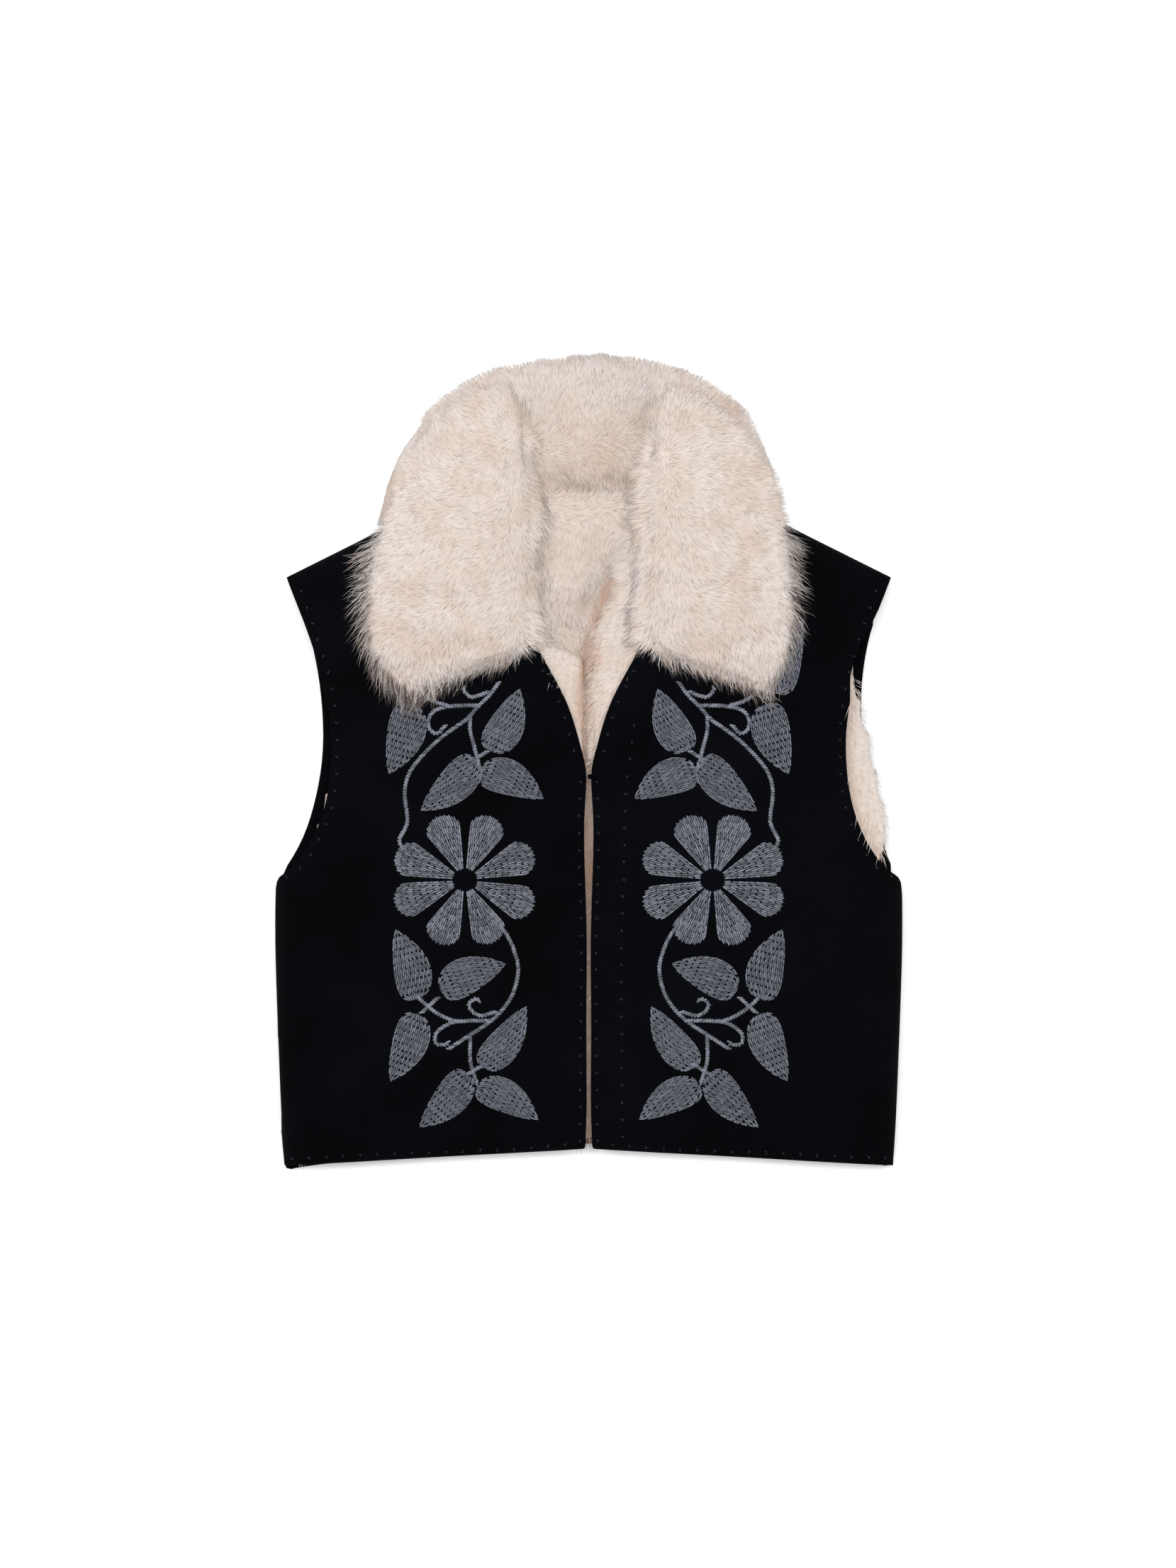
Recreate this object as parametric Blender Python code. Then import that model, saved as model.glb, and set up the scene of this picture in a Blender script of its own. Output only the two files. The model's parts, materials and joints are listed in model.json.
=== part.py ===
"""A cropped folk vest, laid flat on its back: wool cloth outside, long pile fur inside and on the turned collar.

Metres, +Z up, collar towards +Y, hem towards -Y. The origin is on the surface under the middle of the back.
Every table and size below is in millimetres, and to_metres() turns the finished points into metres.
"""

import bpy
import math
from mathutils import Vector

MM = 0.001

# Driving dimensions
CHEST = 500.0  # width of the body laid flat, at the underarm
CLOTH = 2.0  # wool cloth
SEAM_GAP = 0.4  # clearance between pieces that are sewn or lie together
BODY_HEIGHT = 23.4  # top of the fronts over both fur linings
LAYER_SPLIT = 10.0  # top of the back lining, where the front linings lie on it
TURNED_HEM = 12.0  # cloth folded in along the open edges of the back
HEM_CLOTH = 3.6  # thickness of the cloth where it is folded in
COLLAR_LIFT = 26.8  # underside of the fur on the turned collar
COLLAR_CLOTH_TOP = COLLAR_LIFT - 0.4
FOLD_DROP = 7.2  # how far the collar's fold reaches down into the neck past the fronts' edges
NECK_SEAM_Y = 225.0  # back neck seam, where the collar starts

HALF = CHEST / 2

# Front panel at +X. Each row is one line across the cloth, from its outer edge to its front edge.
FRONT_COLUMNS = ("outer_x", "outer_y", "inner_x", "inner_y")
FRONT_ROWS = (
    (HALF - 7.0, -321.0, 2.4, -307.5),
    (HALF - 4.5, -280.0, 1.0, -270.0),
    (HALF - 1.5, -205.0, 1.5, -205.0),
    (HALF + 0.5, -140.0, 0.9, -140.0),
    (HALF, -92.0, 2.9, -78.0),
    (HALF - 16.0, -81.0, 3.1, -40.0),
    (HALF - 31.0, -58.0, 0.9, -9.0),
    (HALF - 41.0, -30.0, 5.5, 12.0),
    (HALF - 45.0, 2.0, 14.0, 42.0),
    (HALF - 44.5, 32.0, 26.0, 67.0),
    (HALF - 38.0, 66.0, 40.0, 92.0),
    (HALF - 27.0, 102.0, 52.0, 128.0),
    (HALF - 16.0, 130.0, 68.0, 176.0),
    (HALF - 8.5, 149.0, 86.0, 227.0),
)
UNDERARM_ROW = 4
COLLAR_START_ROW = 10

# How far the fur of each front lining comes out past its cloth's front edge. The two meet in the V of the neck. Above
# it the one at +X reaches further up, and then both end under the turned collar.
OVERHANG_COLUMNS = ("place", "left", "right")
OVERHANGS = (
    (0.0, -0.2, -0.2),
    (6.2, -0.2, -0.2),
    (7.0, 3.0, 3.5),
    (8.0, 11.5, 12.0),
    (9.0, 23.5, 24.0),
    (9.5, 29.0, 30.0),
    (10.0, 12.0, 36.0),
    (10.5, 2.0, 39.0),
    (11.0, 4.0, 34.0),
    (11.5, 9.0, 22.0),
    (12.0, 14.0, 20.0),
    (13.0, 16.0, 20.0),
)

# How the top of a front drops towards each of its edges: lost share of the height, and over what distance.
EDGE_DROP = {
    "side": (0.81, 24.0, "round"),
    "shoulder": (0.81, 36.0, "round"),
    "armhole": (0.42, 30.0, "soft"),
    "hem": (0.46, 30.0, "soft"),
    "front": (0.16, 18.0, "soft"),
}

# Back panel: outer edge of each row at -X and at +X.
BACK_COLUMNS = ("left_x", "left_y", "right_x", "right_y")
BACK_ROWS = (
    (-HALF + 6.5, -325.5, HALF - 7.0, -322.5),
    (-HALF + 3.0, -270.0, HALF - 3.5, -270.0),
    (-HALF + 1.0, -190.0, HALF - 1.0, -190.0),
    (-HALF, -93.0, HALF, -93.0),
    (-HALF + 19.0, -62.0, HALF - 12.0, -68.0),
    (-HALF + 30.0, -30.0, HALF - 18.0, -36.0),
    (-HALF + 36.0, 5.0, HALF - 27.0, 4.0),
    (-HALF + 34.5, 45.0, HALF - 31.0, 40.0),
    (-HALF + 28.0, 84.0, HALF - 27.0, 80.0),
    (-HALF + 18.0, 120.0, HALF - 18.0, 116.0),
    (-HALF + 8.5, 149.0, HALF - 8.5, 149.0),
)
BACK_UNDERARM_ROW = 3
BACK_NECK_HALF = 86.0
BACK_NECK_DIP = 4.0
HEM_RISE = 20.0  # the back hem rises this much from its corners to the centre

# Turned collar, from its front end round to where it meets the standing back of the collar. The one at -X lies
# a little further out on its front, and is drawn here at +X as well.
FALL_COLUMNS = ("inner_x", "inner_y", "outer_x", "outer_y", "height")
FALL_ROWS_LEFT = (
    (43.0, 93.0, 150.0, 62.0, 21.0),
    (44.0, 112.0, 166.0, 78.0, 26.0),
    (45.0, 134.0, 172.0, 102.0, 28.0),
    (45.0, 162.0, 173.0, 134.0, 30.0),
    (45.0, 194.0, 167.0, 170.0, 30.0),
    (47.0, 226.0, 156.0, 206.0, 29.0),
    (50.0, 252.0, 141.0, 241.0, 26.0),
    (52.0, 276.0, 121.0, 272.0, 21.0),
    (60.0, 294.0, 94.0, 295.0, 14.0),
)
FALL_ROWS_RIGHT = (
    (41.0, 94.0, 146.0, 62.0, 21.0),
    (42.0, 112.0, 158.0, 80.0, 26.0),
    (42.0, 134.0, 161.0, 106.0, 28.0),
    (42.0, 162.0, 160.0, 138.0, 30.0),
    (43.0, 194.0, 158.0, 172.0, 30.0),
    (45.0, 226.0, 153.0, 206.0, 29.0),
    (49.0, 252.0, 140.0, 240.0, 26.0),
    (51.0, 276.0, 119.0, 270.0, 21.0),
    (60.0, 294.0, 92.0, 292.0, 14.0),
)

# Standing back of the collar, laid on the surface behind the neck: a fan from the neck seam to the fur's edge.
STAND_COLUMNS = ("inner_x", "inner_y", "outer_x", "outer_y", "height")
STAND_ROWS = (
    (92.0, 228.0, 158.0, 191.0, 20.0),
    (80.0, 228.6, 152.0, 224.0, 20.0),
    (68.0, 226.4, 142.0, 256.0, 20.5),
    (56.0, 224.4, 121.0, 286.0, 20.5),
    (47.0, 223.6, 88.0, 309.0, 20.5),
    (41.0, 223.4, 58.0, 319.0, 20.8),
    (31.0, 223.3, 40.0, 322.5, 31.0),
    (18.0, 223.2, 22.0, 324.5, 40.0),
    (0.0, 223.2, 4.0, 325.0, 43.0),
    (-18.0, 223.2, -18.0, 323.5, 40.0),
    (-31.0, 223.3, -37.0, 321.5, 31.0),
    (-41.0, 223.4, -56.0, 319.0, 20.8),
    (-47.0, 223.6, -86.0, 310.5, 20.5),
    (-56.0, 224.4, -121.0, 289.0, 20.5),
    (-68.0, 226.4, -147.0, 258.0, 20.5),
    (-80.0, 228.6, -163.0, 224.0, 20.0),
    (-92.0, 228.0, -170.0, 191.0, 20.0),
)

WOOL_BLACK = (0.012, 0.014, 0.020, 1.0)
FUR_CREAM = (0.82, 0.74, 0.68, 1.0)


def clear_scene():
    for thing in list(bpy.data.objects):
        bpy.data.objects.remove(thing, do_unlink=True)


def make_material(name, colour, roughness, metallic=0.0):
    material = bpy.data.materials.new(name)
    material.use_nodes = True
    shader = material.node_tree.nodes["Principled BSDF"]
    shader.inputs["Base Color"].default_value = colour
    shader.inputs["Roughness"].default_value = roughness
    shader.inputs["Metallic"].default_value = metallic
    return material


# Small geometry helpers

def mix(a, b, share):
    return a + (b - a) * share


def ease(share):
    share = min(max(share, 0.0), 1.0)
    return share * share * (3.0 - 2.0 * share)


def row_at(table, place, corner=None):
    """The table's row at a fractional index, on a smooth curve through the rows, with a kink at the corner row."""
    i = min(int(place), len(table) - 2)
    f = place - i
    row, after = table[i], table[i + 1]
    values = []
    for k, (p1, p2) in enumerate(zip(row, after)):
        smooth_start = i > 0 and i != corner
        smooth_end = i + 2 < len(table) and i + 1 != corner
        p0 = table[i - 1][k] if smooth_start else 2.0 * p1 - p2
        p3 = table[i + 2][k] if smooth_end else 2.0 * p2 - p1
        tangent_1, tangent_2 = (p2 - p0) / 2.0, (p3 - p1) / 2.0
        cubic = (2 * f**3 - 3 * f**2 + 1) * p1 + (f**3 - 2 * f**2 + f) * tangent_1
        cubic += (-2 * f**3 + 3 * f**2) * p2 + (f**3 - f**2) * tangent_2
        values.append(cubic)
    return values


def places_between(first, last, count):
    return [mix(first, last, i / (count - 1)) for i in range(count)]


def distance_to_line(x, y, line):
    """Shortest distance in plan from a point to a polyline."""
    best = float("inf")
    for (ax, ay), (bx, by) in zip(line, line[1:]):
        dx, dy = bx - ax, by - ay
        share = ((x - ax) * dx + (y - ay) * dy) / max(dx * dx + dy * dy, 1e-9)
        share = min(max(share, 0.0), 1.0)
        best = min(best, math.hypot(x - ax - share * dx, y - ay - share * dy))
    return best


def to_metres(points, side=1.0):
    return [Vector((p[0] * side * MM, p[1] * MM, p[2] * MM)) for p in points]


def add_object(name, points, faces, material, side=1.0):
    """Makes one named mesh object. A part drawn for +X is mirrored to -X with side -1, and its faces are turned back."""
    mesh = bpy.data.meshes.new(name)
    if side < 0:
        faces = [tuple(reversed(face)) for face in faces]
    mesh.from_pydata(to_metres(points, side), [], faces)
    mesh.materials.append(material)
    mesh.update()
    mesh.shade_smooth()
    mesh.set_sharp_from_angle(angle=math.radians(40))
    thing = bpy.data.objects.new(name, mesh)
    bpy.context.scene.collection.objects.link(thing)
    return thing


def grid_border(rows, columns):
    """Indices round the edge of a grid, in order, anticlockwise when columns run with +X and rows with +Y."""
    index = lambda r, c: r * columns + c
    border = [index(0, c) for c in range(columns)]
    border += [index(r, columns - 1) for r in range(1, rows)]
    border += [index(rows - 1, c) for c in range(columns - 2, -1, -1)]
    border += [index(r, 0) for r in range(rows - 2, 0, -1)]
    return border


def offset_outline(outline, distance):
    """Moves a closed anticlockwise outline outwards in plan."""
    moved = []
    count = len(outline)
    for i, (x, y) in enumerate(outline):
        ax, ay = outline[i - 1]
        bx, by = outline[(i + 1) % count]
        length = max(math.hypot(bx - ax, by - ay), 1e-9)
        moved.append((x + (by - ay) / length * distance, y - (bx - ax) / length * distance))
    return moved


def closed_slab(lower, upper, rim_rings=()):
    """Points and faces of a solid between two grids of equal size. Rim rings are loops between their edges, lowest first."""
    rows, columns = len(lower), len(lower[0])
    count = rows * columns
    points = [p for row in lower for p in row] + [p for row in upper for p in row]
    faces = []
    for r in range(rows - 1):
        for c in range(columns - 1):
            a = r * columns + c
            quad = (a, a + 1, a + 1 + columns, a + columns)
            faces.append(tuple(reversed(quad)))
            faces.append(tuple(i + count for i in quad))
    border = grid_border(rows, columns)
    loops = [border]
    for ring in rim_rings:
        start = len(points)
        points += ring
        loops.append(list(range(start, start + len(ring))))
    loops.append([i + count for i in border])
    for low, high in zip(loops, loops[1:]):
        for i in range(len(low)):
            j = (i + 1) % len(low)
            faces.append((low[i], low[j], high[j], high[i]))
    return points, faces


def closed_tube(rings):
    """Points and faces of a solid through rings of equal size, with a flat cap at each end."""
    size = len(rings[0])
    points = [p for ring in rings for p in ring]
    faces = [tuple(reversed(range(size)))]
    for k in range(len(rings) - 1):
        for i in range(size):
            j = (i + 1) % size
            a, b = k * size, (k + 1) * size
            faces.append((a + i, a + j, b + j, b + i))
    last = (len(rings) - 1) * size
    faces.append(tuple(range(last, last + size)))
    return points, faces


# The fronts: their plan, and the height of the cloth over the linings

def front_edges():
    """The front panel's five edges in plan, as polylines."""
    last = len(FRONT_ROWS) - 1
    rows = [row_at(FRONT_ROWS, t, UNDERARM_ROW) for t in places_between(0.0, last, last * 4 + 1)]
    corner = UNDERARM_ROW * 4
    collar_start = COLLAR_START_ROW * 4
    return {
        "side": [(r[0], r[1]) for r in rows[: corner + 1]],
        "armhole": [(r[0], r[1]) for r in rows[corner:]],
        "hem": [(rows[0][0], rows[0][1]), (rows[0][2], rows[0][3])],
        "shoulder": [(rows[-1][0], rows[-1][1]), (rows[-1][2], rows[-1][3])],
        "front": [(r[2], r[3]) for r in rows[: collar_start + 1]],
        "neck": [(r[2], r[3]) for r in rows[collar_start:]],
    }


def edge_profile(share, kind):
    """0 at an edge and 1 inside: upright and round where two panels are sewn, sloping where the edge is open."""
    share = min(max(share, 0.0), 1.0)
    if kind == "round":
        return math.sqrt(1.0 - (1.0 - share) ** 2)
    return 1.0 - (1.0 - share) ** 2


def front_height(x, y, edges):
    """Height of the top of the cloth, with the shallow waves of a heavy cloth at rest."""
    height = BODY_HEIGHT
    for name, (lost, reach, kind) in EDGE_DROP.items():
        height *= 1.0 - lost * (1.0 - edge_profile(distance_to_line(x, y, edges[name]) / reach, kind))
    wave = 0.5 * math.sin(x / 31.0 + 0.6) * math.sin(y / 47.0 + 1.0)
    wave += 0.3 * math.sin(x / 17.0 - y / 60.0)
    hem_wave = 1.1 * math.sin(x / 26.0 + 0.4) * math.exp(-max(y + 318.0, 0.0) / 26.0)
    return max(height + wave * min(height / BODY_HEIGHT, 1.0) + hem_wave, 2.0 * CLOTH + SEAM_GAP)


def across_places(width, near_edge, middle_count, near_front):
    """Shares of a row's width where its points go: close together where the cloth turns down at its edges."""
    shares = [d / width for d in near_edge]
    tail = [1.0 - d / width for d in near_front]
    shares += [mix(shares[-1], tail[0], i / (middle_count + 1)) for i in range(1, middle_count + 1)]
    return shares + tail


def front_plan(places, near_edge, middle_count, near_front, overhang=lambda t: 0.0):
    """The front's grid in plan, one list for each row. Columns run from the front edge outwards, so that they follow +X."""
    grid = []
    for t in places:
        outer_x, outer_y, inner_x, inner_y = row_at(FRONT_ROWS, t, UNDERARM_ROW)
        more = overhang(t) / math.hypot(outer_x - inner_x, outer_y - inner_y)
        inner_x, inner_y = inner_x - more * (outer_x - inner_x), inner_y - more * (outer_y - inner_y)
        width = math.hypot(outer_x - inner_x, outer_y - inner_y)
        shares = across_places(width, near_edge, middle_count, near_front(t))
        row = [(mix(outer_x, inner_x, s), mix(outer_y, inner_y, s)) for s in shares]
        grid.append(row[::-1])
    return grid


def grid_normals(grid):
    """Upward normals of a grid of points, from each point's neighbours."""
    rows, columns = len(grid), len(grid[0])
    normals = []
    for r in range(rows):
        line = []
        for c in range(columns):
            left, right = Vector(grid[r][max(c - 1, 0)]), Vector(grid[r][min(c + 1, columns - 1)])
            below, above = Vector(grid[max(r - 1, 0)][c]), Vector(grid[min(r + 1, rows - 1)][c])
            line.append((right - left).cross(above - below).normalized())
        normals.append(line)
    return normals


FRONT_PLACES = (
    [0.0, 0.10, 0.28, 0.55]
    + places_between(1.0, 4.0, 7)
    + places_between(4.35, 12.0, 15)
    + [12.35, 12.65, 12.82, 12.92, 13.0]
)
NEAR_SIDE = (0.0, 0.5, 1.8, 4.0, 7.5, 12.0, 18.0, 26.0)
NEAR_FRONT = (20.0, 10.0, 4.0, 0.0)
LINING_NEAR_SIDE = (19.0, 25.0)


def build_front(name, side, wool):
    edges = front_edges()
    plan = front_plan(FRONT_PLACES, NEAR_SIDE, 6, lambda t: NEAR_FRONT)
    upper = [[(x, y, front_height(x, y, edges)) for x, y in row] for row in plan]
    lower = []
    for row, normals in zip(upper, grid_normals(upper)):
        inside = [Vector(p) - n * CLOTH for p, n in zip(row, normals)]
        lower.append([(p.x, p.y, max(p.z, CLOTH + SEAM_GAP)) for p in inside])
    points, faces = closed_slab(lower, upper)
    return add_object(name, points, faces, wool, side)


def lining_overhang(t, side):
    """How far the fur of a front lining comes out past the cloth's front edge, at a row's fractional index."""
    column = 1 if side < 0 else 2
    for before, after in zip(OVERHANGS, OVERHANGS[1:]):
        if t <= after[0]:
            return mix(before[column], after[column], (t - before[0]) / (after[0] - before[0]))
    return OVERHANGS[-1][column]


def lining_near_front(t, side):
    """Columns of the lining near its front: one lies right under the cloth's front edge where the fur overhangs it."""
    under_edge = max(lining_overhang(t, side), 3.0)
    return (under_edge + 14.0, under_edge + 6.0, under_edge, under_edge * 0.5, 0.0)


def is_past_line(x, y, line):
    """Whether a point lies on the low-x side of a line that runs upwards in y."""
    for (ax, ay), (bx, by) in zip(line, line[1:]):
        if min(ay, by) <= y <= max(ay, by):
            return x < mix(ax, bx, (y - ay) / max(by - ay, 1e-9))
    return False


def build_front_lining(name, side, fur):
    """Fur under a front, from the layer split up to just under the cloth."""
    edges = front_edges()
    places = [0.42, 0.7] + places_between(1.1, 4.0, 5) + [4.6, 5.4, 6.2, 6.8, 7.4] + places_between(8.0, 12.0, 9)
    near_front, overhang = (lambda t: lining_near_front(t, side)), (lambda t: lining_overhang(t, side))
    plan = front_plan(places, LINING_NEAR_SIDE, 4, near_front, overhang)
    floor = LAYER_SPLIT + SEAM_GAP
    under_cloth = CLOTH + SEAM_GAP + 0.5
    upper = []
    for t, row in zip(places, plan):
        line = []
        free = ease((lining_overhang(t, side) - 4.0) / 8.0)
        for column, (x, y) in enumerate(row):
            top = front_height(x, y, edges) - under_cloth
            if is_past_line(x - 1.0, y, edges["front"]) or is_past_line(x - 1.0, y, edges["neck"]):
                top = min(top, BODY_HEIGHT * (1.0 - EDGE_DROP["front"][0]) - under_cloth)
            if column < 2:
                top += (1.2, 5.2)[column] * free * ease((y - 22.0) / 40.0) * ease((128.0 - y) / 20.0)
            line.append((x, y, max(top, floor + 1.6)))
        upper.append(line)
    lower = [[(x, y, floor) for x, y in row] for row in plan]
    border = grid_border(len(plan), len(plan[0]))
    flat = [p for row in plan for p in row]
    tops = [p[2] for row in upper for p in row]
    outline = [flat[i] for i in border]
    rim = []
    for share, bulge in ((0.25, 1.6), (0.7, 1.6)):
        moved = offset_outline(outline, bulge)
        rim.append([(max(x, 0.6), y, mix(floor, tops[i], share)) for (x, y), i in zip(moved, border)])
    points, faces = closed_slab(lower, upper, rim)
    return add_object(name, points, faces, fur, side)


# The back: a flat cloth with its open edges folded in, and the fur that lines it

def roof(x):
    """Rise of the back's top edge above its shoulder tips: two shoulder slopes and a shallow neck between them."""
    tip = HALF - 8.5
    rise = (NECK_SEAM_Y + 2.0) - 149.0
    if abs(x) > BACK_NECK_HALF:
        return rise * (tip - abs(x)) / (tip - BACK_NECK_HALF)
    return rise - BACK_NECK_DIP * (1.0 - (x / BACK_NECK_HALF) ** 2)


def back_plan(places, distances, middle):
    """The back's grid in plan. Columns lie at set distances from each edge, and at set shares between them."""
    grid = []
    last = len(BACK_ROWS) - 1
    for t in places:
        left_x, left_y, right_x, right_y = row_at(BACK_ROWS, t, BACK_UNDERARM_ROW)
        width = right_x - left_x
        inner = distances[-1] / width
        shares = [d / width for d in distances]
        shares += [mix(inner, 1.0 - inner, m) for m in middle]
        shares += [1.0 - d / width for d in reversed(distances)]
        arch = ease((t - BACK_UNDERARM_ROW) / (last - BACK_UNDERARM_ROW))
        hem = 1.0 - min(t, 1.0)
        row = []
        for s in shares:
            x = mix(left_x, right_x, s)
            y = mix(left_y, right_y, s) + arch * roof(x)
            y += hem * HEM_RISE * (1.0 - abs(2.0 * s - 1.0) ** 1.6)
            row.append((x, y))
        grid.append(row)
    return grid


BACK_MIDDLE = (0.08, 0.16, 0.24, 0.3215, 0.41, 0.5, 0.59, 0.6785, 0.76, 0.84, 0.92)
NECK_MIDDLE = (0.4025, 0.422, 0.4415, 0.461, 0.4805, 0.5, 0.5195, 0.539, 0.5585, 0.578, 0.5975)  # 8 mm apart
LINING_MIDDLE = BACK_MIDDLE[:4] + NECK_MIDDLE + BACK_MIDDLE[-4:]


def build_back(wool):
    places = [0.0, 0.2, 0.235, 0.6] + places_between(1.0, 3.0, 4) + places_between(3.35, 9.65, 14) + [10.0]
    plan = back_plan(places, (0.0, TURNED_HEM, TURNED_HEM + 1.2), BACK_MIDDLE)
    last_column = len(plan[0]) - 1
    upper = []
    for r, row in enumerate(plan):
        line = []
        for c, (x, y) in enumerate(row):
            folded = r < 2 or c < 2 or c > last_column - 2
            line.append((x, y, HEM_CLOTH if folded and under_open_edge(x, y) else CLOTH))
        upper.append(line)
    lower = [[(x, y, 0.0) for x, y in row] for row in plan]
    points, faces = closed_slab(lower, upper)
    return add_object("back_panel", points, faces, wool)


def under_open_edge(x, y):
    """Whether the turned-in hem has room here: not where the fronts come down to the side and shoulder seams."""
    clear_of_side = abs(x) < HALF - 22.0 if y < -70.0 else True
    clear_of_shoulder = y < 100.0
    return clear_of_side and clear_of_shoulder


def neck_bump(x, y):
    """Fur that stands up where no front presses it, inside the open neck. Lower down only its -X side is free."""
    left = mix(-4.0, -36.0, ease((y - 106.0) / 18.0))
    right = mix(-3.0, 36.0, ease((y - 142.0) / 30.0))
    middle, half = (left + right) / 2.0, (right - left) / 2.0
    across = max(1.0 - (abs(x - middle) / half) ** 3, 0.0)
    along = ease((y - 103.0) / 12.0)
    return 18.0 * across ** 0.4 * along


def build_back_lining(fur):
    """Fur on the back, drawn in from its open edges, and puffed out of the armhole at +X where no front holds it."""
    places = [0.25, 0.6, 1.0, 1.6, 2.2, 2.8, 3.2] + places_between(3.7, 9.2, 13) + [9.6]
    plan = back_plan(places, (14.5,), LINING_MIDDLE)
    for t, row in zip(places, plan):
        row[:] = [(x, y + 6.0 * ease((t - 8.5) / 1.1) * ease((BACK_NECK_HALF - abs(x)) / 14.0)) for x, y in row]
    lower = [[(x, y, CLOTH + SEAM_GAP) for x, y in row] for row in plan]
    upper = [[(x, y, LAYER_SPLIT + neck_bump(x, y)) for x, y in row] for row in plan]
    border = grid_border(len(plan), len(plan[0]))
    flat = [p for row in plan for p in row]
    outline = [flat[i] for i in border]
    rim = []
    for base, height, puff_share in ((1.0, HEM_CLOTH + 0.5, 0.0), (6.0, 6.2, 0.7), (6.0, 8.0, 1.0), (3.0, 9.4, 0.4)):
        moved = offset_outline(outline, base)
        ring = []
        for (x, y), (x0, y0) in zip(moved, outline):
            at_armhole = x0 > 150.0 and -80.0 < y0 < 110.0
            puff = 18.0 * puff_share * ease((y0 + 84.0) / 26.0) * ease((96.0 - y0) / 90.0) if at_armhole else 0.0
            top = min(y, NECK_SEAM_Y - 2.4) if abs(x) < BACK_NECK_HALF - 2.0 else y
            ring.append((x + puff, top, height))
        rim.append(ring)
    points, faces = closed_slab(lower, upper, rim)
    return add_object("back_lining", points, faces, fur)


# The collar: fur on a cloth of its own, standing behind the neck and turned down over both fronts

def crown(s, fullness):
    """Rounded section of deep pile: 0 at both edges, and lower towards the outer edge than at the fold."""
    round_edges = max(1.0 - abs(2.0 * s - 1.0) ** 3.2, 0.0) ** (1.0 / 2.3)
    return round_edges * (1.0 - fullness * ease((s - 0.2) / 0.8))


def pile_locks(along, across):
    """Soft lumps where the pile clings together in locks."""
    return math.sin(along * 1.9 + 2.2 * math.sin(across * 5.0)) * math.sin(across * 9.0 + along * 0.7)


def row_width(row):
    return math.hypot(row[2] - row[0], row[3] - row[1])


def fur_ring(row, underside, fullness, along, lock, upper_count=12):
    """One closed section of a fur piece in the upright plane from its inner point to its outer point."""
    inner_x, inner_y, outer_x, outer_y, height = row
    width = row_width(row)
    ring = []
    for i in range(upper_count + 1):
        s = 0.5 - 0.5 * math.cos(math.pi * i / upper_count)
        base = (underside(s, row) if i in (0, upper_count) else underside(0.5, row)) + 0.26 * height
        z = base + 0.74 * height * crown(s, fullness)
        z += lock * pile_locks(along, s) * math.sin(math.pi * s)
        spread = 1.0 + lock * 0.012 * math.sin(along * 2.6) * s
        ring.append((mix(inner_x, outer_x, s * spread), mix(inner_y, outer_y, s * spread), z))
    inner_bend, outer_bend = 8.6 / width, 1.0 - 9.6 / width
    bends = [mix(outer_bend, inner_bend, k / 3.0) for k in range(4)]
    for s in [1.0 - 8.0 / width] + bends + [7.0 / width]:
        ring.append((mix(inner_x, outer_x, s), mix(inner_y, outer_y, s), underside(s, row)))
    return ring


def end_rings(row, neighbour, steps=(0.25, 0.6, 0.88)):
    """Rows that close a fur piece roundly past its end row, smaller and smaller."""
    rows = []
    for step in steps:
        shrink = math.sqrt(1.0 - step * step)
        rows.append(shrunk_row(row, neighbour, step, shrink))
    return rows


def shrunk_row(row, neighbour, step, shrink):
    inner_x, inner_y, outer_x, outer_y, height = row
    middle_x, middle_y = (inner_x + outer_x) / 2.0, (inner_y + outer_y) / 2.0
    away_x = middle_x - (neighbour[0] + neighbour[2]) / 2.0
    away_y = middle_y - (neighbour[1] + neighbour[3]) / 2.0
    length = max(math.hypot(away_x, away_y), 1e-6)
    reach = 7.0 * step
    shift_x, shift_y = away_x / length * reach, away_y / length * reach
    draw_in = 1.0 - 0.10 * step
    return (
        mix(middle_x, inner_x, draw_in) + shift_x,
        mix(middle_y, inner_y, draw_in) + shift_y,
        mix(middle_x, outer_x, draw_in) + shift_x,
        mix(middle_y, outer_y, draw_in) + shift_y,
        height * max(shrink, 0.35),
    )


def resampled(table, count):
    last = len(table) - 1
    return [row_at(table, t) for t in places_between(0.0, last, count)]


def build_fall(name, table, side, fur):
    """Turned collar of one side: its fold is deep, and its outer edge droops past the cloth under it."""
    def underside(s, row):
        width = row_width(row)
        if s * width < 8.0:
            return COLLAR_LIFT - 1.9 - FOLD_DROP * ease((row[1] - 124.0) / 22.0) * ease((224.0 - row[1]) / 14.0)
        return COLLAR_LIFT - 1.9 if (1.0 - s) * width < 9.0 else COLLAR_LIFT

    rows = resampled(table, 33)
    rows = end_rings(rows[0], rows[1])[::-1] + rows + end_rings(rows[-1], rows[-2])
    rings = [fur_ring(row, underside, 0.34, i * 0.8, 0.8) for i, row in enumerate(rows)]
    points, faces = closed_tube(rings)
    return add_object(name, points, faces, fur, side)


def build_stand(fur):
    """Standing back of the collar: a fan of fur from the neck seam, pressed flat where the turned parts lie on it."""
    rows = resampled(STAND_ROWS, 41)
    rings = []
    for i, row in enumerate(rows):
        free = ease((row[4] - 21.5) / 5.0)
        rings.append(fur_ring(row, lambda s, row: CLOTH + SEAM_GAP, 0.06, i * 0.8, 0.8 * free, 10))
    points, faces = closed_tube(rings)
    return add_object("collar_stand", points, faces, fur)


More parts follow.
